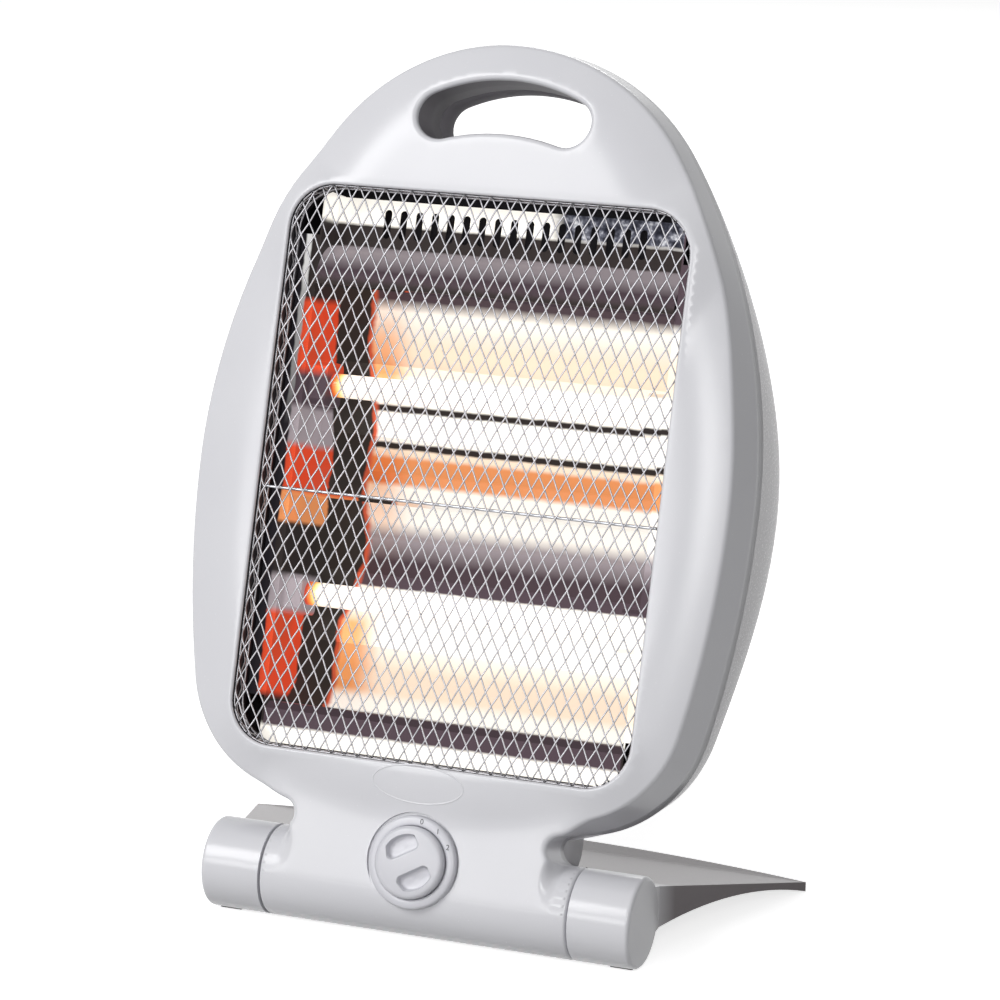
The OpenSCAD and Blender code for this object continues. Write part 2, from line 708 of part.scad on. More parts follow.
module housing_screws() {
    color(steel_grey) on_body() at_screws() {
        along_y(-8, post_back + 0.5) circle(screw_r - 0.05);
        along_y(post_back + 0.05, post_back + 2.5) circle(screw_head_r);
    }
}

// ---- foot ----
foot_edge_r = (foot_half_w * foot_half_w + pow(foot_reach - foot_corner_y, 2)) / (2 * (foot_reach - foot_corner_y));
arch_r = (pow(foot_corner_y - arch_y, 2) + arch_z * arch_z) / (2 * arch_z);
foot_slope = (foot_top_z - lip_t - 2) / (foot_corner_y - 24);
// side view of the plate, from inside a drum back to the lip
module foot_section() {
    polygon([[8, 0], [foot_reach + 1, 0], [foot_reach + 1, lip_t], [foot_corner_y, lip_t + 2],
        [8, foot_top_z + 16 * foot_slope]]);
}
// what is trimmed off beside one slanting edge
module foot_flank() {
    polygon([[barrel_len / 2, -10], [barrel_len / 2, barrel_r], [foot_half_w, foot_corner_y],
        [foot_half_w, 2 * foot_reach], [2 * foot_half_w, 2 * foot_reach], [2 * foot_half_w, -10]]);
}
module foot_plate() {
    intersection() {
        difference() {
            along_x(-foot_half_w - 1, foot_half_w + 1) foot_section();
            along_x(-foot_half_w - 2, foot_half_w + 2) translate([arch_y, arch_z - arch_r])
                circle(arch_r, $fn = 360);
            translate([0, 0, -1]) linear_extrude(3 * barrel_r) {
                both_sides() foot_flank();
                round_rect(neck_w + 12, 2 * notch_y, 8);
            }
            translate([0, 0, axis_z]) {
                along_x(-barrel_len, barrel_len) circle(barrel_r - drum_wall / 2);
                along_x(-drum_in, drum_in) circle(barrel_r + 1.5);
            }
        }
        translate([0, foot_reach - foot_edge_r, -1]) cylinder(r = foot_edge_r, h = 3 * barrel_r, $fn = 360);
    }
}
drum_wall = 3;
module drum() {
    translate([drum_in, 0, 0]) rotate([0, 90, 0]) difference() {
        rotate_extrude() union() {
            square([barrel_r, drum_len - 2]);
            square([barrel_r - 2, drum_len]);
            translate([barrel_r - 2, drum_len - 2]) circle(2);
        }
        translate([0, 0, -1]) difference() {
            cylinder(r = barrel_r - drum_wall, h = drum_len - drum_wall + 1);
            cylinder(r = boss_r, h = drum_len);
        }
        translate([0, 0, -1]) cylinder(r = pin_r + run_gap / 2, h = drum_len - drum_wall + 1);
    }
}
pad_x = barrel_len / 2 - 8;
pad_t = 2.4;
module stand() {
    color(shell_grey) on_floor() difference() {
        union() {
            translate([0, 0, -axis_z]) foot_plate();
            both_sides() drum();
        }
        both_sides() translate([pad_x, 0, -axis_z - 1])
            linear_extrude(pad_t + 1) square([pad_w + 0.1, pad_w + 0.1], center = true);
    }
}

module drum_pads() {
    color(rubber_black) on_floor() both_sides() translate([pad_x, 0, -axis_z])
        linear_extrude(pad_t - 0.05) square(pad_w, center = true);
}

module pivot_pins() {
    color(steel_grey) on_floor() both_sides() along_x(mid_half - pin_in, barrel_len / 2 - drum_wall - 0.2) circle(pin_r);
}

module pivot_bushes() {
    color(ceramic_white) on_body() both_sides() difference() {
        union() {
            along_x(mid_half - bush_len, mid_half) circle(bush_r);
            along_x(mid_half - bush_len, mid_half - wall - 0.2) circle(bush_r + bush_rim);
        }
        along_x(mid_half - bush_len - 1, mid_half + 1) circle(pin_r + run_gap);
    }
}

module friction_washers() {
    color(steel_grey) on_floor() both_sides() along_x(mid_half + 0.1, drum_in - 0.1) difference() {
        circle(bush_r + washer_rim);
        circle(pin_r + 0.2);
    }
}

front_housing();
rear_housing();
grille();
grille_stay_wire();
dial_ring();
knob();
switch_shaft();
rotary_switch();
switch_screws();
upper_tube();
lower_tube();
upper_filament();
lower_filament();
tube_end_caps();
ceramic_holders();
end_plate_left();
end_plate_right();
upper_reflector();
lower_reflector();
top_shield();
bottom_shield();
heat_shield();
thermal_cutout();
terminal_block();
cord_grommet();
tip_switch();
tip_weight();
housing_screws();
stand();
pivot_pins();
pivot_bushes();
friction_washers();
drum_pads();
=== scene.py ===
import json
import math

import bmesh
import bpy
import numpy as np
from mathutils import Matrix, Vector
from mathutils.geometry import delaunay_2d_cdt

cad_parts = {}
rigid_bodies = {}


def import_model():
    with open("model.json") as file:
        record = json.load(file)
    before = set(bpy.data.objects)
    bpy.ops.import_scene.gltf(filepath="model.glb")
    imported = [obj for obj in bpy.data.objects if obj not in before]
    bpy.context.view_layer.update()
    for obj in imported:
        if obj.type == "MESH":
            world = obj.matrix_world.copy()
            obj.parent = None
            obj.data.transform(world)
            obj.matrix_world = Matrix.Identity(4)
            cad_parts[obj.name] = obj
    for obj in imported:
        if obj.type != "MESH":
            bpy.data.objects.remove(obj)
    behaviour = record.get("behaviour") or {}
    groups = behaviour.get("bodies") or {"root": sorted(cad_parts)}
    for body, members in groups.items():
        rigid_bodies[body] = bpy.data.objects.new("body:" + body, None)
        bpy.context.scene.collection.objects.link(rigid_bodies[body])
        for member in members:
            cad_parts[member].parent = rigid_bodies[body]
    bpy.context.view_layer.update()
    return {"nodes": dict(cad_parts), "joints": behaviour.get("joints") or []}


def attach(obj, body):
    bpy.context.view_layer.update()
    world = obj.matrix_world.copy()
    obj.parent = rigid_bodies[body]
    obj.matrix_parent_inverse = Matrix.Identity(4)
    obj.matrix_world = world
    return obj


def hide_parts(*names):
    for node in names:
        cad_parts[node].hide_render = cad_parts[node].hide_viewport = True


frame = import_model()
nodes = frame["nodes"]
print("frame loaded:", len(nodes), "nodes")

# the leaning body's own frame, from the joints: x right, y towards the back, z up the panel
mm = 0.001
joints = {j["name"]: j for j in frame["joints"]}
barrelAxis = Vector(joints["stand_fold"]["pos_m"])
faceNormal = Vector(joints["knob_turn"]["axis"]).normalized()
lean = math.atan2(faceNormal.z, -faceNormal.y)
bodyPlace = Matrix.Translation(barrelAxis) @ Matrix.Rotation(-lean, 4, "X") @ Matrix.Scale(mm, 4)


# ---- materials ----
def linear(hexColour):
    parts = [int(hexColour[i:i + 2], 16) / 255 for i in (1, 3, 5)]
    return [p / 12.92 if p <= 0.04045 else ((p + 0.055) / 1.055) ** 2.4 for p in parts] + [1.0]


def addNode(tree, kind, settings=None, inputs=None):
    # an input is a number, a hex colour, a socket, or a node whose first output is linked
    node = tree.nodes.new(kind)
    for name, value in (settings or {}).items():
        setattr(node, name, value)
    for key, value in (inputs or {}).items():
        if isinstance(value, bpy.types.Node):
            value = value.outputs[0]
        if isinstance(value, bpy.types.NodeSocket):
            tree.links.new(value, node.inputs[key])
        else:
            node.inputs[key].default_value = linear(value) if isinstance(value, str) else value
    return node


def bandsAlong(tree, value, stops):
    # colours or shares laid along a length in mm, straight between the stops
    if len(stops) > 30:
        half = len(stops) // 2
        above = addNode(tree, "ShaderNodeMath", {"operation": "GREATER_THAN"}, {0: value, 1: float(stops[half][0])})
        halves = {6: bandsAlong(tree, value, stops[:half + 1]), 7: bandsAlong(tree, value, stops[half:])}
        return addNode(tree, "ShaderNodeMix", {"data_type": "RGBA"}, {"Factor": above, **halves}).outputs[2]
    low, high = stops[0][0], stops[-1][0]
    scaled = addNode(tree, "ShaderNodeMapRange", inputs={"Value": value, "From Min": low, "From Max": high})
    band = addNode(tree, "ShaderNodeValToRGB", inputs={"Fac": scaled})
    elements = band.color_ramp.elements
    while len(elements) < len(stops):
        elements.new(0.5)
    for element, (spot, colour) in zip(elements, stops):
        element.position = (spot - low) / (high - low)
    for element, (spot, colour) in zip(elements, stops):
        element.color = linear(colour) if isinstance(colour, str) else [colour] * 3 + [1]
    return band.outputs["Color"]


def layered(tree, colour, layers):
    # each layer covers what lies below its place along a length in mm, and the colour shows past it
    for value, (low, high), cover in layers:
        share = addNode(tree, "ShaderNodeMapRange", inputs={"Value": value, "From Min": low, "From Max": high})
        colour = addNode(tree, "ShaderNodeMix", {"data_type": "RGBA"},
                         {"Factor": share, 6: cover, 7: colour}).outputs[2]
    return colour


def newMaterial(name):
    material = bpy.data.materials.new(name)
    material.use_nodes = True
    tree = material.node_tree
    tree.nodes.clear()
    shader = addNode(tree, "ShaderNodeBsdfPrincipled")
    addNode(tree, "ShaderNodeOutputMaterial", inputs={"Surface": shader.outputs["BSDF"]})
    place = addNode(tree, "ShaderNodeTexCoord")
    return material, tree, shader, place.outputs["Object"]


def glossyAbs(name, colour, roughness, specular=0.5, shadeBehind=None):
    # injection-moulded ABS from a polished tool: a clear gloss with a faint long ripple and dust-fine peel
    material, tree, shader, place = newMaterial(name)
    ripple = addNode(tree, "ShaderNodeTexNoise", inputs={"Vector": place, "Scale": 28.0, "Detail": 2.0})
    paint = addNode(tree, "ShaderNodeMix", {"data_type": "RGBA"},
                    {"Factor": ripple, 6: colour[0], 7: colour[1]}).outputs[2]
    shader.inputs["Specular IOR Level"].default_value = specular
    if shadeBehind:
        # painted shade: the plate behind the drums is toned darker and duller where the body's shadow falls on it
        start, end, dim, loss = shadeBehind
        behind = addNode(tree, "ShaderNodeSeparateXYZ", inputs={"Vector": place}).outputs["Y"]
        share = addNode(tree, "ShaderNodeMapRange", inputs={"Value": behind, "From Min": start, "From Max": end})
        paint = addNode(tree, "ShaderNodeMix", {"data_type": "RGBA"}, {"Factor": share, 6: paint, 7: dim}).outputs[2]
        duller = addNode(tree, "ShaderNodeMath", {"operation": "MULTIPLY_ADD"}, {0: share, 1: -loss, 2: specular})
        tree.links.new(duller.outputs[0], shader.inputs["Specular IOR Level"])
    tree.links.new(paint, shader.inputs["Base Color"])
    peel = addNode(tree, "ShaderNodeTexNoise", inputs={"Vector": place, "Scale": 900.0, "Detail": 1.0})
    gloss = addNode(tree, "ShaderNodeMapRange", inputs={"Value": peel.outputs["Fac"], "To Min": roughness - 0.03,
                                                         "To Max": roughness + 0.04})
    tree.links.new(gloss.outputs[0], shader.inputs["Roughness"])
    bump = addNode(tree, "ShaderNodeBump", inputs={"Height": peel.outputs["Fac"], "Strength": 0.03,
                                                    "Distance": 0.1 * mm})
    tree.links.new(bump.outputs["Normal"], shader.inputs["Normal"])
    shader.inputs["IOR"].default_value = 1.53
    return material


def metal(name, colour, roughness, grain):
    # sheet or wire: a plain metal with faint rolling or drawing marks
    material, tree, shader, place = newMaterial(name)
    stretch = addNode(tree, "ShaderNodeMapping", inputs={"Vector": place, "Scale": (40.0, 900.0, 900.0)})
    marks = addNode(tree, "ShaderNodeTexNoise", inputs={"Vector": stretch.outputs[0], "Scale": 1.0, "Detail": 3.0})
    spread = addNode(tree, "ShaderNodeMapRange", inputs={"Value": marks.outputs["Fac"],
                                                          "To Min": roughness - grain, "To Max": roughness + grain})
    tree.links.new(spread.outputs[0], shader.inputs["Roughness"])
    shader.inputs["Base Color"].default_value = linear(colour)
    shader.inputs["Metallic"].default_value = 1.0
    return material


def plain(name, colour, roughness, strength=0.0, glow=None):
    material, tree, shader, place = newMaterial(name)
    speck = addNode(tree, "ShaderNodeTexNoise", inputs={"Vector": place, "Scale": 1200.0, "Detail": 2.0})
    gloss = addNode(tree, "ShaderNodeMapRange", inputs={"Value": speck.outputs["Fac"], "To Min": roughness - 0.05,
                                                         "To Max": roughness + 0.05})
    tree.links.new(gloss.outputs[0], shader.inputs["Roughness"])
    shader.inputs["Base Color"].default_value = linear(colour)
    if glow:
        shader.inputs["Emission Color"].default_value = linear(glow)
        shader.inputs["Emission Strength"].default_value = strength
    return material


footBack = (nodes["stand"].matrix_world.inverted() @ Vector((0, barrelAxis.y, 0))).y
# painted shade on the foot plate behind the drums: from, to, tone and loss of gloss
footShade = (footBack + 0.012, footBack + 0.03, "#8a8486", 0.42)
# the glow and the dark bands of shade and reflection between are painted, not lit: a few tones of sheet metal, in bands
# up the panel as (from, to, tone) in mm, whose places were measured from the photo
tones = {"white": "#fcf7ee", "cream": "#f5dfc8", "orange": "#e2915c", "red": "#d04a2e", "grey": "#9a9094",
         "mauve": "#4c4046", "black": "#302b2a"}
bands = {"trough": ((71, 71.5, "black"), (74.5, 79, "white"), (83, 93, "cream"), (104, 128.5, "white"),
                    (129.5, 141, "mauve"), (150, 152, "grey"), (158, 173, "white"), (175.5, 186, "orange"),
                    (188, 190, "cream"), (191, 193, "black"), (194, 206.5, "white"), (207.5, 209.5, "black"),
                    (210.5, 222.5, "white"), (224, 237, "cream"), (248, 250, "white"), (255, 258, "mauve")),
         "wall": ((56, 62, "white"), (64, 75, "black"), (78, 112, "red"), (115, 128, "grey"), (131, 152, "black"),
                  (154, 166, "orange"), (168, 186, "red"), (189, 203, "grey"), (206, 218, "mauve"), (222, 250, "red"),
                  (253, 287, "black"), (289, 302, "white")),
         "top": ((255, 260, "black"), (264, 266, "mauve"), (272, 277, "grey"), (278.5, 287.5, "black"),
                 (289, 302, "white")),
         "bottom": ((54, 62, "white"), (63.5, 73, "mauve"))}
glow = {"edge": ((76, 0.449), (80, 0.432), (83, 0.419), (86, 0.401), (92, 0.383), (98, 0.367), (104, 0.354),
                 (112, 0.354), (118, 0.384), (134, 0.421), (140, 0.452), (146, 0.475), (152, 0.488), (158, 0.508),
                 (164, 0.523), (170, 0.498), (173, 0.474), (176, 0.456), (180, 0.436), (186, 0.425), (192, 0.414),
                 (198, 0.411), (210, 0.394), (222, 0.369), (228, 0.356), (236, 0.359), (243, 0.379), (248, 0.404),
                 (253, 0.429), (257, 0.448)),
        "warm": ((72, 0.0), (80, 0.1), (84, 1.0), (112, 1.0), (117, 0.3), (152, 0.2), (158, 0.5), (170, 0.6),
                 (176, 0.8), (188, 0.5), (191, 0.1), (207, 0.1), (212, 0.2), (222, 1.0), (238, 0.7), (250, 0.2)),
        "wallEnd": ((80, 0.262), (92, 0.209), (104, 0.184), (113, 0.184), (134, 0.200), (150, 0.256), (155, 0.309),
                    (164, 0.351), (170, 0.338), (176, 0.295), (188, 0.248), (198, 0.214), (210, 0.194), (222, 0.184),
                    (236, 0.205), (245, 0.232), (250, 0.258), (256, 0.286)),
        "strip": ((196, 0.0), (215, 0.25), (255, 0.45), (262, 0.8), (290, 0.9), (294, 0.0)),
        "lip": (-88.6, -87.8), "margin": (-91.2, -90.4), "middle": (-1.0, 1.0), "side": (-0.5, 0.5),
        "ember": (1.2, 3.4), "paintedShadeEdge": (-0.6, 0.6), "mottleFrom": (16.4, 23.4), "mottleUp": (287.4, 289.4),
        "warmDepth": (8.0, 24.0), "waver": (2.5, 1.2), "strength": 0.85}


def toneBands(tree, value, name):
    # each band holds its tone, and the tones run into each other between the bands
    return bandsAlong(tree, value, [(spot, tones[tone]) for low, high, tone in bands[name] for spot in (low, high)])


def litMetal(name, part, mottle=None):
    # bright sheet metal with the tubes' glow painted on, not lit: bands by each sheet's own place in the body, in mm
    # across and up the panel
    material, tree, shader, place = newMaterial(name)
    spot, turned, size = (bodyPlace.inverted() @ nodes["upper_reflector"].matrix_world).decompose()
    flat = addNode(tree, "ShaderNodeMapping", inputs={"Vector": place, "Location": spot, "Rotation": turned.to_euler(),
                                                      "Scale": size})
    axes = addNode(tree, "ShaderNodeSeparateXYZ", inputs={"Vector": flat}).outputs
    ripple = addNode(tree, "ShaderNodeTexNoise", inputs={"Vector": flat, "Scale": 0.12, "Detail": 3.0})
    wave = addNode(tree, "ShaderNodeMath", {"operation": "SUBTRACT"}, {0: ripple, 1: 0.5})
    across, up = [addNode(tree, "ShaderNodeMath", {"operation": "MULTIPLY_ADD"}, {0: wave, 1: waver, 2: axes[axis]})
                  for waver, axis in zip(glow["waver"], ("X", "Z"))]
    colour = toneBands(tree, up, part)
    if part == "top":
        patch = addNode(tree, "ShaderNodeTexNoise", inputs={"Vector": flat, "Scale": 0.3, "Detail": 2.0})
        share = addNode(tree, "ShaderNodeMath", {"operation": "MULTIPLY"}, {0: patch, 1: 100.0})
        colour = layered(tree, bandsAlong(tree, share, mottle), ((across, glow["mottleFrom"], colour),
                                                                 (up, glow["mottleUp"], colour)))
    elif part == "wall":
        # left end: a painted highlight on the plate's turned front edge, then a margin of painted shade; right end: the
        # troughs' painted bands
        bright = addNode(tree, "ShaderNodeMix", {"data_type": "RGBA"},
                         {"Factor": bandsAlong(tree, up, glow["strip"]), 6: "#29262a", 7: "#f3f2f0"}).outputs[2]
        colour = layered(tree, colour, ((across, glow["lip"], bright), (across, glow["margin"], "#242226")))
        colour = layered(tree, toneBands(tree, up, "trough"), ((across, glow["middle"], colour),))
    elif part == "trough":
        # how far each spot lies inside the lit edge, and inside the end of the wall's reflection
        depths = []
        for line in ("edge", "wallEnd"):
            start = addNode(tree, "ShaderNodeMath", {"operation": "MULTIPLY_ADD"},
                            {0: bandsAlong(tree, axes["Z"], glow[line]), 1: 100.0, 2: -100.0})
            depths.append(addNode(tree, "ShaderNodeMath", {"operation": "SUBTRACT"}, {0: across, 1: start}))
        inside, past = depths
        low, high = glow["warmDepth"]
        warm = addNode(tree, "ShaderNodeMapRange", {"interpolation_type": "SMOOTHSTEP"},
                       {"Value": inside, "From Min": low, "From Max": high, "To Min": 0.95, "To Max": 0.0})
        warmth = addNode(tree, "ShaderNodeMath", {"operation": "MULTIPLY"},
                         {0: warm, 1: bandsAlong(tree, up, glow["warm"])})
        colour = addNode(tree, "ShaderNodeMix", {"data_type": "RGBA", "blend_type": "MULTIPLY"},
                         {"Factor": warmth, 6: colour, 7: "#f0a869"}).outputs[2]
        # painted ember glow just inside the lit edge, painted shade past it, and past the wall's end the wall's painted
        # reflection
        colour = layered(tree, colour, ((inside, glow["ember"], "#c2553a"), (inside, glow["paintedShadeEdge"], "#332e2b"),
                                        (past, glow["side"], toneBands(tree, up, "wall"))))
    marks = addNode(tree, "ShaderNodeTexNoise", inputs={"Vector": flat, "Scale": 0.9, "Detail": 3.0})
    gloss = addNode(tree, "ShaderNodeMapRange", inputs={"Value": marks, "To Min": 0.25, "To Max": 0.45})
    base = addNode(tree, "ShaderNodeMix", {"data_type": "RGBA", "blend_type": "MULTIPLY"},
                   {"Factor": 1.0, 6: colour, 7: "#8c8c8c"})
    tree.links.new(gloss.outputs[0], shader.inputs["Roughness"])
    tree.links.new(base.outputs[2], shader.inputs["Base Color"])
    tree.links.new(colour, shader.inputs["Emission Color"])
    shader.inputs["Emission Strength"].default_value = glow["strength"]
    shader.inputs["Metallic"].default_value = 1.0
    return material


shellPlastic = glossyAbs("glossy grey ABS", ("#d3d3d8", "#d8d8dc"), 0.25)
knobPlastic = glossyAbs("satin grey ABS", ("#cacad0", "#ceced4"), 0.3)
# the rear moulding is toned a little darker and less glossy than the front
backPlastic = glossyAbs("glossy grey ABS, rear moulding", ("#c6c4c8", "#cbc9cd"), 0.26, 0.22)
# the walls inside the shells and round the handle hole are the same plastic, toned darker for the shade in the photo
innerPlastic = glossyAbs("grey ABS, unpolished inner walls", ("#26252a", "#2c2b30"), 0.6, 0.15)
tunnelPlastic = glossyAbs("grey ABS, shaded handle walls", ("#8b888d", "#918e93"), 0.5, 0.06)
footPlastic = glossyAbs("glossy grey ABS, foot", ("#d3d3d8", "#d8d8dc"), 0.22, 0.5, footShade)
chromedWire = metal("chromed steel wire", "#a2a1a5", 0.4, 0.05)
polishedAluminium = metal("polished aluminium", "#d8d8d8", 0.2, 0.05)
zincSteel = metal("zinc-plated steel", "#a9abb0", 0.35, 0.08)
ceramic = plain("steatite ceramic", "#a8a39a", 0.6)
blackPlastic = plain("black moulded plastic", "#17171a", 0.45)
rubber = plain("black rubber", "#141414", 0.7)
brass = metal("turned brass", "#b89a54", 0.3, 0.05)
# painted glow, shade and reflections on the sheets round the tubes
litTrough = litMetal("polished aluminium lit by the tubes", "trough")
litWall = litMetal("aluminium end plates lit by the tubes", "wall")
litTop = litMetal("aluminium shield lit from below", "top",
                  mottle=((30, "#24252c"), (45, "#3c3d46"), (55, "#5d5e68"), (62, "#8f9098"), (72, "#d0d0d2")))
litFlange = litMetal("aluminium flange lit from above", "bottom")

# quartz tubes run white hot and fade to orange at the cooler end, which shows at the left
hotQuartz, tree, shader, place = newMaterial("lit quartz tube")
along = addNode(tree, "ShaderNodeMath", {"operation": "MULTIPLY"},
                {0: addNode(tree, "ShaderNodeSeparateXYZ", inputs={"Vector": place}).outputs["X"], 1: 1 / mm})
heat = bandsAlong(tree, along, ((-74, "#b4402c"), (-72.2, "#e8803c"), (-70.4, "#f8c878"), (-67.5, "#fdf1e2"),
                                (0, "#fffaf3"), (60, "#fdf6ec"), (82, "#fbeede")))
speck = addNode(tree, "ShaderNodeTexNoise", inputs={"Vector": place, "Scale": 300.0, "Detail": 2.0})
shine = addNode(tree, "ShaderNodeMapRange", inputs={"Value": speck.outputs["Fac"], "To Min": 0.12, "To Max": 0.2})
tree.links.new(shine.outputs[0], shader.inputs["Roughness"])
tree.links.new(heat, shader.inputs["Base Color"])
tree.links.new(heat, shader.inputs["Emission Color"])
shader.inputs["Emission Strength"].default_value = 0.95
hotFilament = plain("glowing filament", "#ffd9a0", 0.4, 4.0, "#ffd9a0")

finishes = {
    "front_housing": shellPlastic, "rear_housing": backPlastic, "stand": footPlastic,
    "dial_ring": knobPlastic, "knob": knobPlastic, "grille": chromedWire, "grille_stay_wire": zincSteel,
    "switch_shaft": zincSteel, "rotary_switch": blackPlastic, "switch_screws": zincSteel,
    "upper_tube": hotQuartz, "lower_tube": hotQuartz, "upper_filament": hotFilament, "lower_filament": hotFilament,
    "tube_end_caps": litWall, "ceramic_holders": litWall, "end_plate_left": litWall,
    "end_plate_right": litWall, "upper_reflector": litTrough, "lower_reflector": litTrough,
    "top_shield": litTop, "bottom_shield": litFlange, "heat_shield": litTrough,
    "thermal_cutout": blackPlastic, "terminal_block": ceramic, "cord_grommet": rubber, "tip_switch": blackPlastic,
    "tip_weight": brass, "housing_screws": zincSteel, "pivot_pins": zincSteel, "pivot_bushes": ceramic,
    "friction_washers": zincSteel, "drum_pads": rubber,
}
for name, material in finishes.items():
    nodes[name].data.materials.clear()
    nodes[name].data.materials.append(material)
# only the sides that face the tubes carry the painted glow: the backs of the sheets are plain metal
towardsBack, towardsRight = (bodyPlace.to_3x3() @ Vector((0, 1, 0))).normalized(), Vector((1, 0, 0))
for name in ("upper_reflector", "lower_reflector", "top_shield", "bottom_shield", "heat_shield", "end_plate_left",
             "end_plate_right", "ceramic_holders", "tube_end_caps"):
    sheet = nodes[name].data
    sheet.materials.append(polishedAluminium)
    outward = {"end_plate_left": -1, "end_plate_right": 1}.get(name, 0) * towardsRight
    for polygon in sheet.polygons:
        if polygon.normal.dot(towardsBack) > 0.12 or polygon.normal.dot(outward) > 0.12:
            polygon.material_index = 1
print("materials set:", len(bpy.data.materials))


# ---- pieces ----
def bodyOf(node):
    return nodes[node].parent.name.split(":")[1]


def softened(node, width, segments=2, angle=32):
    # a welded copy of a part with its edges rounded, as moulded ones are
    source = nodes[node]
    mesh = bmesh.new()
    mesh.from_mesh(source.data)
    bmesh.ops.remove_doubles(mesh, verts=mesh.verts, dist=0.002 * mm)
    bmesh.ops.dissolve_limit(mesh, angle_limit=math.radians(0.3), verts=mesh.verts, edges=mesh.edges)
    data = bpy.data.meshes.new(node + "_finished")
    mesh.to_mesh(data)
    mesh.free()
    piece = bpy.data.objects.new(node + "_finished", data)
    bpy.context.scene.collection.objects.link(piece)
    data.materials.append(finishes[node])
    if width:
        bevel = piece.modifiers.new("edges", "BEVEL")
        bevel.width = width * mm
        bevel.segments = segments
        bevel.limit_method = "ANGLE"
        bevel.angle_limit = math.radians(angle)
        bevel.harden_normals = False
    data.shade_smooth()
    data.set_sharp_from_angle(angle=math.radians(angle))
    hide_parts(node)
    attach(piece, bodyOf(node))
    return piece


softened("stand", 0.6)
print("plastic parts finished")

# ---- moulded shells ----
shell = {"top": 368.5, "topR": 96.5, "half": 126.5, "waist": 176.0, "lowR": 450.0, "cornerR": 57.0, "bottom": 23.5,
         "bottomR": 232.0, "neck": 59.0, "fillet": 6.2, "barrel": 20.0, "middle": 71.5, "parting": 4.0, "wall": 2.2,
         "edgeR": 3.4, "edgeEnd": 66.0, "neckEdgeR": 2.5, "flare": 1.5, "drawIn": 4.3, "proud": 0.04, "grid": 2.6}
window = {"halfX": 92.75, "halfZ": 123.5, "mid": 177.9, "r": 20.0, "lip": 1.3, "back": 8.0}
handle = {"centre": 272.0, "outer": 80.2, "end": 10.6, "bump": 328.6, "spread": 24.9, "shift": 1.0, "lip": 2.3,
          "rearLip": 2.2}
dial = {"z": 12.8, "bore": (-0.45, 13.15, 21.2), "floor": 18.6}


def smooth(t):
    t = np.clip(t, 0, 1)
    return t * t * (3 - 2 * t)


def arcRun(centre, radius, start, stop, count, inward=False):
    # points on an arc with their outward normals; the last point is left to the next run
    angles = np.radians(np.linspace(start, stop, count, endpoint=False))
    ray = np.stack([np.cos(angles), np.sin(angles)], 1)
    return np.array(centre) + radius * ray, -ray if inward else ray


def crossing(c1, r1, c2, r2):
    c1, c2 = np.array(c1), np.array(c2)
    d = np.linalg.norm(c2 - c1)
    a = (r1 * r1 - r2 * r2 + d * d) / (2 * d)
    u = (c2 - c1) / d
    return c1 + a * u + math.sqrt(r1 * r1 - a * a) * np.array([u[1], -u[0]])


def bearing(p, q):
    return math.degrees(math.atan2(q[1] - p[1], q[0] - p[0]))


def eggRuns(first):
    s = shell
    topC = (0, s["top"] - s["topR"])
    rise = topC[1] - s["waist"]
    sideR = (s["half"] ** 2 + rise ** 2 - s["topR"] ** 2) / (2 * (s["half"] - s["topR"]))
    sideC, lowC = (s["half"] - sideR, s["waist"]), (s["half"] - s["lowR"], s["waist"])
    bottomC = (0, s["bottom"] + s["bottomR"])
    cornerC = crossing(lowC, s["lowR"] - s["cornerR"], bottomC, s["bottomR"] - s["cornerR"])
    aBottom, aLow, aSide = bearing(bottomC, cornerC), bearing(lowC, cornerC), bearing(sideC, topC)
    return [arcRun(bottomC, s["bottomR"], first, aBottom, 8), arcRun(cornerC, s["cornerR"], aBottom, aLow, 18),
            arcRun(lowC, s["lowR"], aLow, 0, 12), arcRun(sideC, sideR, 0, aSide, 26),
            arcRun(topC, s["topR"], aSide, 90, 22)]


def mirrored(points, normals, closed):
    # a right half from the bottom up becomes the whole run, round to the left
    flip = np.array([-1, 1])
    left = points[::-1] * flip
    leftNormals = normals[::-1] * flip
    if closed:
        left, leftNormals = left[:-1], leftNormals[:-1]
    topPoint, topNormal = np.array([[0, shell["top"]]]), np.array([[0, 1]])
    return np.concatenate([points, topPoint, left]), np.concatenate([normals, topNormal, leftNormals])


filletHeight = shell["bottom"] + shell["bottomR"] - math.sqrt(
    (shell["bottomR"] + shell["fillet"]) ** 2 - (shell["neck"] + shell["fillet"]) ** 2)
filletEnd = math.degrees(math.atan2(filletHeight - shell["bottom"] - shell["bottomR"], shell["neck"] + shell["fillet"]))


def bodyOutline():
    # barrel top, neck and egg; onBarrel is 1 along the barrel and fades round the fillet to the neck
    f, neck, top = shell["fillet"], shell["neck"], shell["barrel"] + shell["proud"]
    xs = np.linspace(shell["middle"] - 1.4, neck + f, 4, endpoint=False)
    shoulder = (np.stack([xs, np.full(4, top)], 1), np.tile([0.0, 1.0], (4, 1)))
    lower = arcRun((neck + f, top + f), f, 270, 180, 14, True)
    upper = arcRun((neck + f, filletHeight), f, 180, 180 + filletEnd, 10, True)
    runs = [shoulder, lower, upper] + eggRuns(filletEnd)
    points, normals = mirrored(np.concatenate([r[0] for r in runs]), np.concatenate([r[1] for r in runs]), False)
    onBarrel = np.zeros(len(points))
    onBarrel[:4] = 1
    onBarrel[4:18] = 1 - smooth(np.linspace(0, 1.7, 14, endpoint=False))
    onBarrel = np.maximum(onBarrel, onBarrel[::-1])
    return points, normals, onBarrel


eggPoints, _ = mirrored(*[np.concatenate(part) for part in zip(*eggRuns(-90))], True)
eggLine = np.concatenate([eggPoints, eggPoints[:1]])


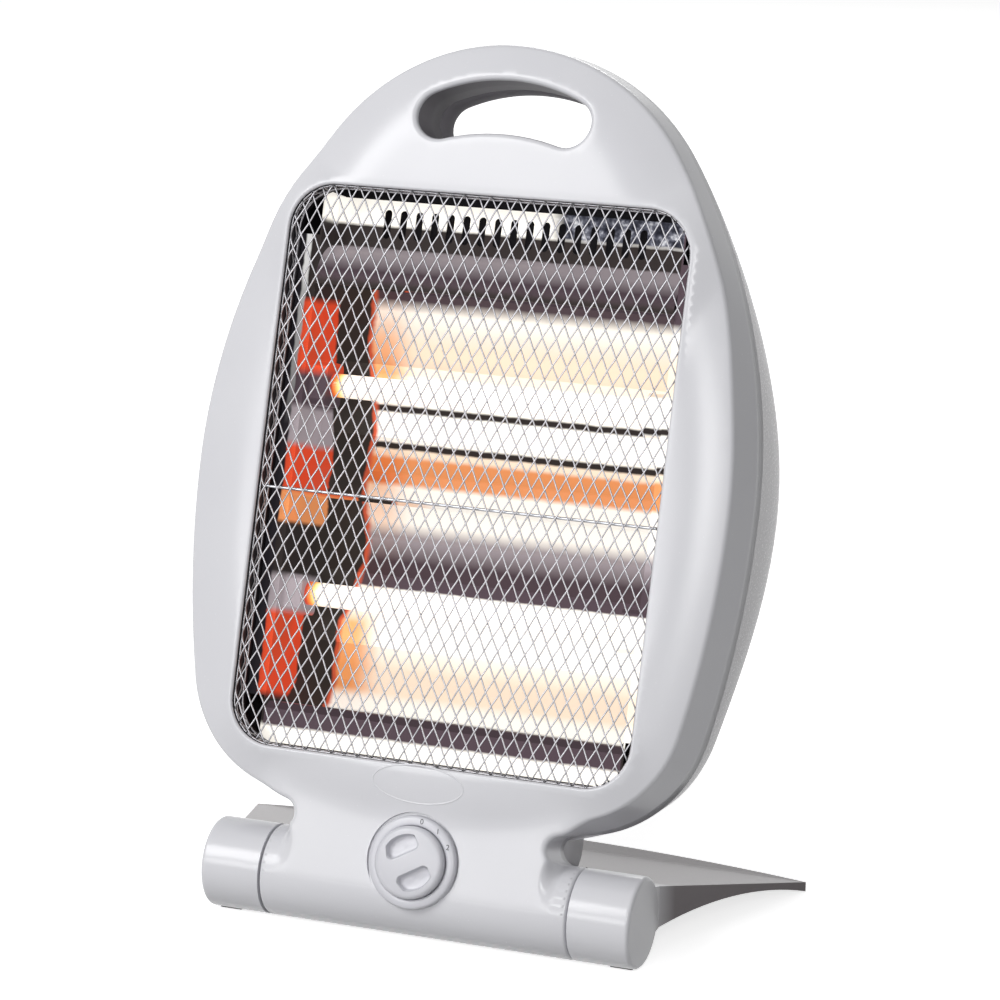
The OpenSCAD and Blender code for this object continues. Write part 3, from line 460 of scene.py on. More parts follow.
def lineDistance(points, line):
    # distance from each point to a closed line, positive inside it
    a, b = line[:-1], line[1:]
    ab = b - a
    best = np.full(len(points), 1e9)
    inside = np.zeros(len(points), bool)
    for start, step, end in zip(a, ab, b):
        t = np.clip(((points - start) @ step) / (step @ step), 0, 1)
        best = np.minimum(best, np.linalg.norm(points - start - t[:, None] * step, axis=1))
        crossed = (start[1] > points[:, 1]) != (end[1] > points[:, 1])
        with np.errstate(divide="ignore", invalid="ignore"):
            inside ^= crossed & (points[:, 0] < (end[0] - start[0]) * (points[:, 1] - start[1]) / (end[1] - start[1])
                                 + start[0])
    return np.where(inside, best, -best)


def windowDistance(points):
    q = np.abs(points - [0, window["mid"]]) - [window["halfX"] - window["r"], window["halfZ"] - window["r"]]
    return np.linalg.norm(np.maximum(q, 0), axis=1) + np.minimum(q.max(1), 0) - window["r"]


reach = np.linspace(0, 60, 601)
slopes = np.interp(reach, [0, 9, 15, 22, 28, 34], [0.44, 0.43, 0.33, 0.2, 0.06, 0])
climb = np.concatenate([[0], np.cumsum((slopes[1:] + slopes[:-1]) / 2 * 0.1)])
climb -= np.interp(2.02, reach, climb)


def neckShare(points):
    return smooth((80 - np.abs(points[:, 0])) / 16) * smooth((64 - points[:, 1]) / 26)


def softMax(a, b, k):
    return (a + b + np.sqrt((a - b) ** 2 + k * k)) / 2


def faceHeight(points):
    # how far the front face stands in front of the barrel axis
    e = lineDistance(points, eggLine)
    egg = 17.3 + np.where(e < 0, np.interp(0, reach, climb) + 0.44 * e, np.interp(e, reach, climb)) * 7.7 / climb[-1]
    rim = 24.5 - 0.55 * np.maximum(windowDistance(points) - 1.5, 0)
    face = np.minimum(softMax(egg, rim, 0.8), 25.0)
    share = neckShare(points)
    face = face + share * (softMax(face, np.full(len(face), 20.0), 1.2) - face)
    low = smooth((24 - points[:, 1]) / 12)
    face = face * (1 - low) + (shell["barrel"] + shell["proud"]) * low
    boreX, boreZ, boreR = dial["bore"]
    near = np.hypot(points[:, 0] - boreX, points[:, 1] - boreZ)
    face = np.where(near < boreR + 0.05, dial["floor"], face)
    barrel = np.sqrt(np.maximum(shell["barrel"] ** 2 - points[:, 1] ** 2, 0))
    return np.where(points[:, 1] < 0, np.minimum(face, barrel + shell["proud"] + 0.03 * points[:, 1]), face)


def windowOutline(grow):
    pts = []
    for cx, cz, a in ((1, 1, 0), (-1, 1, 90), (-1, -1, 180), (1, -1, 270)):
        centre = (cx * (window["halfX"] - window["r"]), window["mid"] + cz * (window["halfZ"] - window["r"]))
        angles = np.radians(np.linspace(a, a + 90, 13))
        pts.append(np.array(centre) + (window["r"] + grow) * np.stack([np.cos(angles), np.sin(angles)], 1))
    corners = np.concatenate(pts)
    filled = []
    for p, q in zip(corners, np.roll(corners, -1, 0)):
        parts = max(1, int(np.linalg.norm(q - p) // 5))
        filled += [p + (q - p) * i / parts for i in range(parts)]
    return np.array(filled)


def handleOutline(grow):
    h = handle
    angle = math.radians(h["spread"])
    reach = h["outer"] - h["end"]
    endX, endZ = reach * math.sin(angle), h["centre"] + reach * math.cos(angle)
    rise = endZ - h["bump"]
    inner = (endX ** 2 + rise ** 2 - h["end"] ** 2) / (2 * (h["end"] - rise))
    a, b, c = h["spread"], math.degrees(math.atan2(endX, inner + rise)), h["shift"]
    return np.concatenate([arcRun((c, h["centre"]), h["outer"] + grow, 90 - a, 90 + a, 26)[0],
                           arcRun((c - endX, endZ), h["end"] + grow, 90 + a, 270 + b, 16)[0],
                           arcRun((c, h["bump"] - inner), inner - grow, 90 + b, 90 - b, 20)[0],
                           arcRun((c + endX, endZ), h["end"] + grow, 270 - b, 450 - a, 16)[0]])


def ringsMesh(rings, closed):
    # quads between rings of like points, as vertex and face lists
    count = len(rings[0])
    faces = []
    for k in range(len(rings) - 1):
        for i in range(count if closed else count - 1):
            j = (i + 1) % count
            faces.append((k * count + i, (k + 1) * count + i, (k + 1) * count + j, k * count + j))
    return [tuple(p) for ring in rings for p in ring], faces


def insideLine(points, line):
    return lineDistance(points, np.concatenate([line, line[:1]])) > 0


def fillPanel(outer, holes, spacing, margin=1.2, creases=()):
    # triangles over a flat region with holes, with an even grid of points inside
    loops = [outer] + holes
    coords, edges = [], []
    for line in creases:
        start = len(coords)
        coords += [tuple(p) for p in line]
        edges += [(start + i, start + i + 1) for i in range(len(line) - 1)]
    for loop in loops:
        start = len(coords)
        coords += [tuple(p) for p in loop]
        edges += [(start + i, start + (i + 1) % len(loop)) for i in range(len(loop))]
    low, high = outer.min(0), outer.max(0)
    xs = np.arange(low[0], high[0], spacing)
    zs = np.arange(low[1], high[1], spacing * 0.87)
    grid = np.array([(x + (k % 2) * spacing / 2, z) for k, z in enumerate(zs) for x in xs])
    keep = lineDistance(grid, np.concatenate([outer, outer[:1]])) > margin
    for hole in holes:
        keep &= lineDistance(grid, np.concatenate([hole, hole[:1]])) < -margin
    coords += [tuple(p) for p in grid[keep]]
    points, _, faces, *_ = delaunay_2d_cdt([Vector(c) for c in coords], edges, [], 0, 1e-5)
    points = np.array([tuple(p) for p in points])
    centres = np.array([points[list(f)].mean(0) for f in faces])
    good = insideLine(centres, outer)
    for hole in holes:
        good &= ~insideLine(centres, hole)
    return points, [tuple(f) for f, g in zip(faces, good) if g]


def joined(parts):
    points, faces = [], []
    for verts, polys in parts:
        start = len(points)
        points += [tuple(v) for v in verts]
        faces += [tuple(i + start for i in f) for f in polys]
    return points, faces


def bodyPiece(name, parts, material, node, weld=0.02, wall=0.0, sharp=40, ride=None, finishOf=None):
    # a piece drawn in the leaning body's frame, in mm; finishOf gives each part's material by number
    data = bpy.data.meshes.new(name)
    points, faces = joined(parts)
    data.from_pydata([bodyPlace @ Vector(p) for p in points], [], faces)
    if finishOf:
        numbers = [finishOf[i] for i, part in enumerate(parts) for _ in part[1]]
        data.polygons.foreach_set("material_index", numbers)
    mesh = bmesh.new()
    mesh.from_mesh(data)
    bmesh.ops.remove_doubles(mesh, verts=mesh.verts, dist=weld * mm)
    bmesh.ops.dissolve_degenerate(mesh, edges=mesh.edges, dist=1e-7)
    bmesh.ops.recalc_face_normals(mesh, faces=mesh.faces)
    mesh.to_mesh(data)
    mesh.free()
    piece = bpy.data.objects.new(name, data)
    bpy.context.scene.collection.objects.link(piece)
    for finish in (material if isinstance(material, list) else [material]):
        data.materials.append(finish)
    data.shade_smooth()
    data.set_sharp_from_angle(angle=math.radians(sharp))
    if wall:
        thick = piece.modifiers.new("wall", "SOLIDIFY")
        thick.thickness = wall * mm
        thick.offset = -1
        thick.material_offset = 4
    if node:
        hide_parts(*([node] if isinstance(node, str) else node))
    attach(piece, ride or "heater")
    return piece


def at(points, ahead):
    return [(p[0], -a, p[1]) for p, a in zip(points, ahead)]


def frontShell():
    s = shell
    base, normals, onBarrel = bodyOutline()
    share = np.maximum(neckShare(base), np.minimum(1, 4 * onBarrel))
    endR = s["edgeR"] + (s["neckEdgeR"] - s["edgeR"]) * share
    endR = endR + (s["barrel"] + s["proud"] - endR) * onBarrel
    endA = np.radians(s["edgeEnd"] + (90 - s["edgeEnd"]) * share)
    # the side wall draws in towards the face, more at the waist than at the top
    drawIn = s["drawIn"] * (1 - smooth((base[:, 1] - 215) / 85)) * (1 - share)
    drawIn = drawIn * (0.15 + 0.85 * smooth((base[:, 0] + 60) / 120))
    startA = np.arctan((drawIn + s["flare"] * (1 - share)) / 20)
    endD = drawIn + endR * (np.cos(startA) - np.cos(endA))
    lastAhead = faceHeight(base - normals * endD[:, None])
    cornerN = lastAhead - endR * (np.sin(endA) - np.sin(startA))
    rings = []
    for t in (0, 0.25, 0.5, 0.75, 1):
        ahead = -s["parting"] + (cornerN + s["parting"]) * t
        d = -s["flare"] * (1 - share) * (1 - t) + drawIn * t
        points = base - normals * d[:, None]
        points[:, 1] -= (s["barrel"] - np.sqrt(s["barrel"] ** 2 - np.minimum(ahead, 0) ** 2)) * onBarrel
        rings.append(at(points, ahead))
    for t in np.linspace(0, 1, 10)[1:]:
        angle = startA + (endA - startA) * t
        ahead = cornerN + endR * (np.sin(angle) - np.sin(startA))
        points = base - normals * (drawIn + endR * (np.cos(startA) - np.cos(angle)))[:, None]
        rings.append(at(points, ahead))
    side = ringsMesh(rings, False)
    last = np.array([(p[0], p[2]) for p in rings[-1]])
    steps = 40
    floorLine = last[-1] + (last[0] - last[-1]) * np.linspace(0, 1, steps + 1)[:, None] - [0, 4.0]
    outer = np.concatenate([last, floorLine])
    lipW = windowOutline(window["lip"])
    lipH = handleOutline(handle["lip"])
    boreX, boreZ, boreR = dial["bore"]
    turns = np.radians(np.linspace(-36, 216, 90))
    bores = [np.array([boreX, boreZ]) + r * np.stack([np.cos(turns), np.sin(turns)], 1)
             for r in (boreR, boreR + 0.1, boreR + 0.3)]
    points, faces = fillPanel(outer, [lipW, lipH], s["grid"], creases=bores)
    ahead = faceHeight(points)
    panel = (at(points, ahead), faces)
    parts = [side, panel]
    for outline, size, back in ((windowOutline, window["lip"], [window["back"]]),
                                (handleOutline, handle["lip"], [8.0, -s["parting"]])):
        start = faceHeight(outline(size))
        rings = []
        for a in np.radians(np.linspace(0, 90, 7)):
            grow = size * (1 - math.sin(a))
            rings.append(at(outline(grow), start - size * (1 - math.cos(a))))
        parts.append(ringsMesh(rings, True))
        rings = rings[-1:]
        for n in back:
            rings.append(at(outline(0), np.full(len(start), n)))
        parts.append(ringsMesh(rings, True))
    return bodyPiece("front_shell", parts, [shellPlastic, innerPlastic, tunnelPlastic, shellPlastic, innerPlastic],
                     "front_housing", wall=s["wall"], finishOf=[0, 0, 0, 1, 0, 2])


frontShell()
print("front shell made")


def curveThrough(knots, value):
    # a monotone cubic through the knots
    xs, ys = np.array(knots, float).T
    h = np.diff(xs)
    s = np.diff(ys) / h
    between = np.where(s[:-1] * s[1:] > 0, 2 * s[:-1] * s[1:] / (s[:-1] + s[1:] + 1e-12), 0)
    m = np.concatenate([[s[0]], between, [s[-1]]])
    v = np.clip(value, xs[0], xs[-1])
    k = np.clip(np.searchsorted(xs, v, side="right") - 1, 0, len(h) - 1)
    t = (v - xs[k]) / h[k]
    return ((1 + 2 * t) * (1 - t) ** 2 * ys[k] + t * (1 - t) ** 2 * h[k] * m[k]
            + t * t * (3 - 2 * t) * ys[k + 1] + t * t * (t - 1) * h[k] * m[k + 1])


rear = {"bulge": 55.0, "tuck": 9.0, "top": 22.0, "low": 30.0, "up": 150.0, "down": 125.0, "seam": 0.3,
        "profile": [(-1.5, 0), (-0.6, 0.3), (0.8, 0.6), (2.6, 0.8), (5.5, 0.9), (10, 0.965), (17, 1), (40, 1.02)],
        "slot": (5.0, 26.0), "slotPitch": 13.0, "slotRows": ((90, 3), (262, 4)), "cord": (40.0, 66.0, 7.0),
        "screws": ((-106, 110), (106, 110), (-70, 318), (70, 318), (0, 312)), "screwR": 3.6, "screwSeat": 11.0}


def backDepth(z):
    rise = z - shell["waist"]
    up, low = [rear[end] + (rear["bulge"] - rear[end]) * (1 + np.cos(np.pi * np.minimum(1, way / rear[reach]))) / 2
               for end, way, reach in (("top", rise, "up"), ("low", -rise, "down"))]
    return np.where(rise > 0, up, low)


def tucked(points, share):
    # the back's lower edge rises as it goes back
    lift = rear["tuck"] * share * smooth((58 - points[:, 1]) / 34)
    return points + np.stack([np.zeros(len(points)), lift], 1)


def backHeight(points):
    # how far the back lies behind the barrel axis
    e = lineDistance(points, eggLine)
    share = curveThrough(rear["profile"], e)
    return shell["parting"] + share * (backDepth(points[:, 1]) - shell["parting"])


def roundedSlot(cx, cz, w, h):
    r = w / 2
    runs = [arcRun((cx, cz + h / 2 - r), r, 0, 180, 10)[0], arcRun((cx, cz - h / 2 + r), r, 180, 360, 10)[0]]
    return np.concatenate(runs)


def circleLine(cx, cz, r, count=20):
    return arcRun((cx, cz), r, 0, 360, count)[0]


def rearShell():
    s = shell
    points, normals = mirrored(*[np.concatenate(part) for part in zip(*eggRuns(-90))], True)
    rings = []
    start = -s["flare"]
    for d, depth in ((start + rear["seam"], 0.0), (start, rear["seam"])):
        rings.append([(p[0], s["parting"] + depth, p[1]) for p in points - normals * d])
    for share in (0.08, 0.18, 0.3, 0.45, 0.6, 0.7, 0.8, 0.86, 0.9):
        d = np.interp(share, curveThrough(rear["profile"], np.linspace(-1.5, 6, 400)), np.linspace(-1.5, 6, 400))
        ring = points - normals * d
        depth = s["parting"] + share * (backDepth(ring[:, 1]) - s["parting"])
        rings.append([(p[0], y, p[1]) for p, y in zip(tucked(ring, share), depth)])
    last = ring
    slots = [roundedSlot(i * rear["slotPitch"], z, *rear["slot"]) for z, n in rear["slotRows"]
             for i in range(-n, n + 1)]
    wells = [circleLine(x, z, rear["screwR"]) for x, z in rear["screws"]]
    cordHole = circleLine(*rear["cord"])
    lip = handleOutline(handle["rearLip"])
    cells, faces = fillPanel(last, slots + wells + [cordHole, lip], 3.4, 0.9)
    depth = backHeight(cells)
    raised = tucked(cells, curveThrough(rear["profile"], lineDistance(cells, eggLine)))
    parts = [ringsMesh(rings, True), ([(p[0], y, p[1]) for p, y in zip(raised, depth)], faces)]
    level = backHeight(lip)
    rings = []
    for a in np.radians(np.linspace(0, 90, 6)):
        size = handle["rearLip"]
        rings.append([(p[0], y - size * (1 - math.cos(a)), p[1])
                      for p, y in zip(handleOutline(size * (1 - math.sin(a))), level)])
    rings.append([(p[0], s["parting"], p[1]) for p in handleOutline(0)])
    parts.append(ringsMesh(rings, True))
    finish = [backPlastic, innerPlastic, tunnelPlastic, backPlastic, innerPlastic]
    bodyPiece("rear_shell", parts, finish, "rear_housing", wall=s["wall"], finishOf=[0, 0, 2])
    # wells in which the screws sit
    parts = []
    for x, z in rear["screws"]:
        line = circleLine(x, z, rear["screwR"])
        outer = circleLine(x, z, rear["screwR"] + 1.6)
        low = backHeight(outer) - 1.0
        parts.append(ringsMesh([[(p[0], rear["screwSeat"] - 1.5, p[1]) for p in outer],
                                [(p[0], y, p[1]) for p, y in zip(outer, low)],
                                [(p[0], y, p[1]) for p, y in zip(line, backHeight(line) - 0.4)],
                                [(p[0], rear["screwSeat"], p[1]) for p in line]], True))
        parts.append(([(p[0], rear["screwSeat"], p[1]) for p in line], [tuple(range(len(line)))]))
        parts.append(([(p[0], rear["screwSeat"] - 1.5, p[1]) for p in outer], [tuple(range(len(outer)))]))
    bodyPiece("screw_wells", parts, backPlastic, None, sharp=30)


def halfBarrel(first, last):
    # one half of the barrel's fixed middle, cut at the joint between the shells
    r, half = shell["barrel"], shell["middle"]
    ends = [(half, r - 1.4), (half - 0.12, r - 0.85), (half - 0.45, r - 0.4), (half - 0.85, r - 0.12), (half - 1.4, r)]
    stations = [(-x, q) for x, q in ends] + [(half * t, r) for t in (-0.5, 0, 0.5)] + ends[::-1]
    angles = np.radians(np.linspace(first, last, 97))
    rings = [[(x, -q * math.cos(a), q * math.sin(a)) for a in angles] for x, q in stations]
    count = len(angles)
    points, faces = ringsMesh(rings, True)
    faces += [tuple(range(count)), tuple((len(rings) - 1) * count + i for i in range(count))]
    return points, faces


def neckBlock():
    n = shell["neck"]
    outline = [(3.0, -6), (15, 10), (26, 16), (29.4, 21), (30, 26), (30, 40), (3.0, 40)]
    rings = []
    for x, k in ((-n, 1.6), (-n + 0.5, 0.5), (-n + 1.8, 0), (n - 1.8, 0), (n - 0.5, 0.5), (n, 1.6)):
        rings.append([(x, y if y < 4 else y - k * (y - 4) / 26, z + (k if 5 < z < 22 else 0)) for y, z in outline])
    points, faces = ringsMesh(rings, True)
    count = len(outline)
    faces += [tuple(range(count)), tuple((len(rings) - 1) * count + i for i in range(count))]
    return points, faces


rearShell()
split = math.degrees(math.acos(-shell["parting"] / shell["barrel"]))
bodyPiece("barrel_front", [halfBarrel(-split, split)], shellPlastic, None, sharp=45)
bodyPiece("barrel_rear", [halfBarrel(split, 360 - split)], shellPlastic, None, sharp=45)
bodyPiece("neck_rear", [neckBlock()], shellPlastic, None, sharp=50)
print("rear shell and barrel made")


# ---- knob, dial and oval line ----
knobShape = {"r": 15.8, "base": 20.4, "top": 27.5, "edge": 2.2, "crown": 0.8, "grip": 3.7, "outer": 12.4, "long": 8.0,
             "corner": 2.6, "deep": 3.4, "turn": 60.0}


def recessOutline(side, shrink):
    # a finger recess: an arc of the disc outside the grip bar, its corners rounded
    k = knobShape
    r = k["corner"]
    grip, arc, half = k["grip"] + shrink, k["outer"] - shrink, k["long"] - shrink
    corners = [(-half + r, grip + r), (half - r, grip + r)]
    pts = []
    for (cu, cv), start in ((corners[0], 180), (corners[1], 270)):
        pts.append(arcRun((cu, cv), r, start, start + 90, 7)[0])
    # far side: along the arc, between the two ends
    a0 = math.degrees(math.asin(min(0.99, (half - 0.4) / arc)))
    pts.append(arcRun((0, 0), arc, 90 - a0, 90 + a0, 15)[0])
    line = np.concatenate(pts)
    return line * [1, side]


def knobPlace(points):
    a = math.radians(90 - knobShape["turn"])
    c, s = math.cos(a), math.sin(a)
    return points @ np.array([[c, s], [-s, c]]) + [0, dial["z"]]


def makeKnob():
    k = knobShape
    circle = circleLine(0, 0, 1, 72)

    def crownAt(points):
        return k["top"] - k["crown"] * (np.hypot(points[:, 0], points[:, 1]) / k["r"]) ** 2

    rings = [at(knobPlace(circle * radius), np.full(72, height))
             for radius, height in ((k["r"] - 0.5, k["base"]), (k["r"], k["base"] + 0.5))]
    rimTop = crownAt(np.array([[k["r"] - k["edge"], 0]]))[0]
    for a in np.radians(np.linspace(0, 80, 7)):
        radius = k["r"] - k["edge"] * (1 - math.cos(a))
        rings.append(at(knobPlace(circle * radius), np.full(72, rimTop - k["edge"] * (1 - math.sin(a)))))
    lastRadius = k["r"] - k["edge"] * (1 - math.cos(math.radians(80)))
    lastTop = rimTop - k["edge"] * (1 - math.sin(math.radians(80)))
    parts = [ringsMesh(rings, True)]
    tops = [recessOutline(side, 0) for side in (1, -1)]
    panel, faces = fillPanel(circle * lastRadius, tops, 1.1, 0.4)
    nearRim = smooth((np.hypot(panel[:, 0], panel[:, 1]) - lastRadius + 2.2) / 2.2)
    heights = crownAt(panel) * (1 - nearRim) + lastTop * nearRim
    parts.append((at(knobPlace(panel), heights), faces))
    for side, top in zip((1, -1), tops):
        ringsIn = []
        for shrink, drop in ((0, 0), (0.12, 0.22), (0.35, 0.5), (0.5, k["deep"] - 0.9), (0.75, k["deep"] - 0.35),
                             (1.2, k["deep"])):
            line = recessOutline(side, shrink)
            ringsIn.append(at(knobPlace(line), crownAt(top) - drop))
        parts.append(ringsMesh(ringsIn, True))
        bottom = recessOutline(side, 1.2)
        cells, cellFaces = fillPanel(bottom, [], 1.2, 0.4)
        near = np.array([crownAt(top)[np.argmin(np.linalg.norm(bottom - c, axis=1))] for c in cells]) - k["deep"]
        parts.append((at(knobPlace(cells), near), cellFaces))
    parts.append((rings[0], [tuple(range(72))]))
    return bodyPiece("knob_turned", parts, knobPlastic, "knob", sharp=50, ride="control_knob", weld=0.01)


def makeDial():
    # ring with a bevelled outer edge, and its boss on the barrel
    circle = circleLine(0, 0, 1, 96)
    profile = [(15.98, 20.0), (15.98, 22.6), (16.3, 22.95), (17.0, 23.1), (19.1, 22.95), (19.75, 22.6), (20.15, 21.9),
               (20.3, 21.0), (20.3, 20.0)]
    rings = [at(circle * r + [0, dial["z"]], np.full(96, n)) for r, n in profile]
    rings.append(rings[0])
    bodyPiece("dial_ring_turned", [ringsMesh(rings, True)], knobPlastic, "dial_ring", sharp=45)
    boss = [at(circle * r + [0, dial["z"]], np.full(96, n)) for r, n in ((19.6, 12.0), (19.6, 19.9), (19.3, 20.0))]
    parts = [ringsMesh(boss, True), (boss[0], [tuple(range(96))]), (boss[-1], [tuple(range(96))])]
    bodyPiece("dial_boss", parts, shellPlastic, None, sharp=45)


makeKnob()
makeDial()

digits = {"marks": (("0", 9), ("1", 36), ("2", 62)), "radius": 18.15, "size": 3.3, "front": 23.12}
for mark, angle in digits["marks"]:
    words = bpy.data.curves.new("digit_" + mark, "FONT")
    words.body = mark
    words.align_x, words.align_y = "CENTER", "CENTER"
    words.size = digits["size"]
    words.extrude = 0.03
    holder = bpy.data.objects.new("digit_source", words)
    bpy.context.scene.collection.objects.link(holder)
    bpy.context.view_layer.update()
    data = bpy.data.meshes.new_from_object(holder.evaluated_get(bpy.context.evaluated_depsgraph_get()))
    bpy.data.objects.remove(holder)
    a = math.radians(angle)
    place = Vector((digits["radius"] * math.sin(a), -digits["front"], dial["z"] + digits["radius"] * math.cos(a)))
    data.transform(bodyPlace @ Matrix.Translation(place) @ Matrix.Rotation(math.radians(90), 4, "X"))
    data.materials.clear()
    data.materials.append(plain("grey print", "#4a4a50", 0.5))
    piece = bpy.data.objects.new("digit_" + mark, data)
    bpy.context.scene.collection.objects.link(piece)
    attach(piece, "heater")

ovalLine = {"centre": (-0.8, 46.5), "half": (21.0, 8.2), "line": 0.26}
# a fine raised oval line on the neck
turns = np.radians(np.linspace(0, 360, 97)[:-1])
line = np.array(ovalLine["centre"]) + np.stack([np.cos(turns), np.sin(turns)], 1) * ovalLine["half"]
outward = np.stack([np.cos(turns) / ovalLine["half"][0], np.sin(turns) / ovalLine["half"][1]], 1)
outward /= np.linalg.norm(outward, axis=1)[:, None]
level = faceHeight(line)
rings = []
for a in np.radians(np.linspace(0, 360, 9)[:-1]):
    rings.append(at(line + outward * math.cos(a) * ovalLine["line"] * 1.6, level + math.sin(a) * ovalLine["line"] * 0.7))
rings.append(rings[0])
bodyPiece("badge_line", [ringsMesh(rings, True)], shellPlastic, None, sharp=80)
print("knob, dial and oval line made")


# ---- woven wire mesh ----
mesh = {"halfX": 92.45, "halfZ": 123.2, "mid": 177.9, "r": 19.7, "pitchX": 6.2, "pitchZ": 11.8, "wire": 0.37,
        "front": 23.4, "bend": 1.6, "turned": 10.0, "weave": 0.28, "step": 1.66}


def foldedPoint(point):
    # a flat point, folded back over the rounded edge: (x, z), how far behind the mesh plane
    cx, cz = mesh["halfX"] - mesh["r"], mesh["halfZ"] - mesh["r"]
    core = np.array([min(max(point[0], -cx), cx), min(max(point[1], -cz), cz)])
    out = point - core
    length = np.linalg.norm(out)
    past = length - (mesh["r"] - mesh["bend"])
    if past <= 0:
        return point, 0.0
    direction = out / length
    quarter = mesh["bend"] * math.pi / 2
    if past < quarter:
        a = past / mesh["bend"]
        away = mesh["r"] - mesh["bend"] * (1 - math.sin(a))
        return core + direction * away, mesh["bend"] * (1 - math.cos(a))
    return core + direction * mesh["r"], mesh["bend"] + past - quarter


def wireRuns(slant):
    runs = []
    direction = np.array([slant * mesh["pitchX"], mesh["pitchZ"]])
    cell = np.linalg.norm(direction)
    direction /= cell
    wide = mesh["halfX"] + mesh["turned"] + 2
    tall = mesh["halfZ"] + mesh["turned"] + 2
    count = int((wide / mesh["pitchX"] + tall / mesh["pitchZ"])) + 2
    half = int(2 * tall / mesh["step"])
    for i in range(-count, count + 1):
        start = np.array([(i + 0.5) * mesh["pitchX"], 0.0])
        run = []
        for k in range(-half, half + 1):
            t = k * cell / 8
            flat = start + direction * t
            if abs(flat[0]) > wide or abs(flat[1]) > tall:
                continue
            spot, behind = foldedPoint(flat)
            if behind > mesh["turned"]:
                continue
            # over one crossing wire and under the next
            wave = slant * mesh["weave"] * math.cos(math.pi * (k / 4) + math.pi * i)
            ahead = mesh["front"] - mesh["wire"] - behind
            run.append((k, (spot[0], -(ahead + (wave if behind < 0.4 else 0)), spot[1] + mesh["mid"])))
        piece = []
        for j, (k, point) in enumerate(run):
            if piece and k != run[j - 1][0] + 1:
                runs.append(piece)
                piece = []
            piece.append(point)
        if len(piece) > 1:
            runs.append(piece)
    return [r for r in runs if len(r) > 2]


def tubeGroup(name, radius, sides, material):
    # geometry nodes that turn lines into round wire
    group = bpy.data.node_groups.new(name, "GeometryNodeTree")
    group.interface.new_socket("Geometry", in_out="INPUT", socket_type="NodeSocketGeometry")
    thick = group.interface.new_socket("Wire radius", in_out="INPUT", socket_type="NodeSocketFloat")
    thick.default_value = radius
    group.interface.new_socket("Geometry", in_out="OUTPUT", socket_type="NodeSocketGeometry")
    source = addNode(group, "NodeGroupInput")
    path = addNode(group, "GeometryNodeMeshToCurve", inputs={"Mesh": source.outputs["Geometry"]})
    ring = addNode(group, "GeometryNodeCurvePrimitiveCircle", {"mode": "RADIUS"},
                   {"Resolution": sides, "Radius": source.outputs["Wire radius"]})
    tube = addNode(group, "GeometryNodeCurveToMesh", inputs={"Curve": path.outputs["Curve"],
                                                             "Profile Curve": ring.outputs["Curve"], "Fill Caps": True})
    solid = addNode(group, "GeometryNodeRealizeInstances", inputs={"Geometry": tube.outputs["Mesh"]})
    painted = addNode(group, "GeometryNodeSetMaterial", inputs={"Geometry": solid.outputs["Geometry"],
                                                                "Material": material})
    addNode(group, "NodeGroupOutput", inputs={"Geometry": painted.outputs["Geometry"]})
    return group, thick.identifier


def wirePiece(name, runs, radius, sides, material, replaced=None):
    points, edges = [], []
    for run in runs:
        start = len(points)
        points += run
        edges += [(start + i, start + i + 1) for i in range(len(run) - 1)]
    data = bpy.data.meshes.new(name)
    data.from_pydata([bodyPlace @ Vector(p) for p in points], edges, [])
    piece = bpy.data.objects.new(name, data)
    bpy.context.scene.collection.objects.link(piece)
    group, radiusInput = tubeGroup(name, radius * mm, sides, material)
    maker = piece.modifiers.new("wire", "NODES")
    maker.node_group = group
    maker[radiusInput] = radius * mm
    bpy.context.view_layer.update()
    baked = bpy.data.meshes.new_from_object(piece.evaluated_get(bpy.context.evaluated_depsgraph_get()))
    piece.modifiers.clear()
    piece.data = baked
    baked.shade_smooth()
    baked.set_sharp_from_angle(angle=math.radians(80))
    if replaced:
        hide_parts(replaced)
    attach(piece, "heater")
    return piece


def hemRun(behind):
    line = []
    for cx, cz, a in ((1, 1, 0), (-1, 1, 90), (-1, -1, 180), (1, -1, 270)):
        for t in np.radians(np.linspace(a, a + 90, 10)):
            line.append((cx * (mesh["halfX"] - mesh["r"]) + (mesh["r"]) * math.cos(t), -(mesh["front"] - behind),
                         mesh["mid"] + cz * (mesh["halfZ"] - mesh["r"]) + mesh["r"] * math.sin(t)))
    return line + line[:2]


wires = wireRuns(1) + wireRuns(-1)
wirePiece("wire_mesh", wires, mesh["wire"], 6, chromedWire, "grille")
wirePiece("mesh_hem", [hemRun(mesh["turned"])], 0.6, 8, chromedWire)
wirePiece("mesh_rim", [hemRun(mesh["bend"])], 0.45, 8, chromedWire)
print("wire mesh made:", len(wires), "wires")


# ---- stage ----
stage = {"floor": 4.0, "lift": 0.72, "sky": 0.22, "lens": 139.75, "distance": 1.6507, "azimuth": 22.63,
         "elevation": 15.70, "roll": 0.27, "aimHeight": 0.1629, "shift": (0.0716, 0.0748)}


def seenAsBackground(tree):
    # 1 for rays from the camera, a reflection or through glass, and 0 for the rays that light the object
    path = addNode(tree, "ShaderNodeLightPath").outputs
    mirrored = addNode(tree, "ShaderNodeMath", {"operation": "MAXIMUM"},
                       {0: path["Is Glossy Ray"], 1: path["Is Transmission Ray"]})
    return addNode(tree, "ShaderNodeMath", {"operation": "MAXIMUM"}, {0: path["Is Camera Ray"], 1: mirrored})


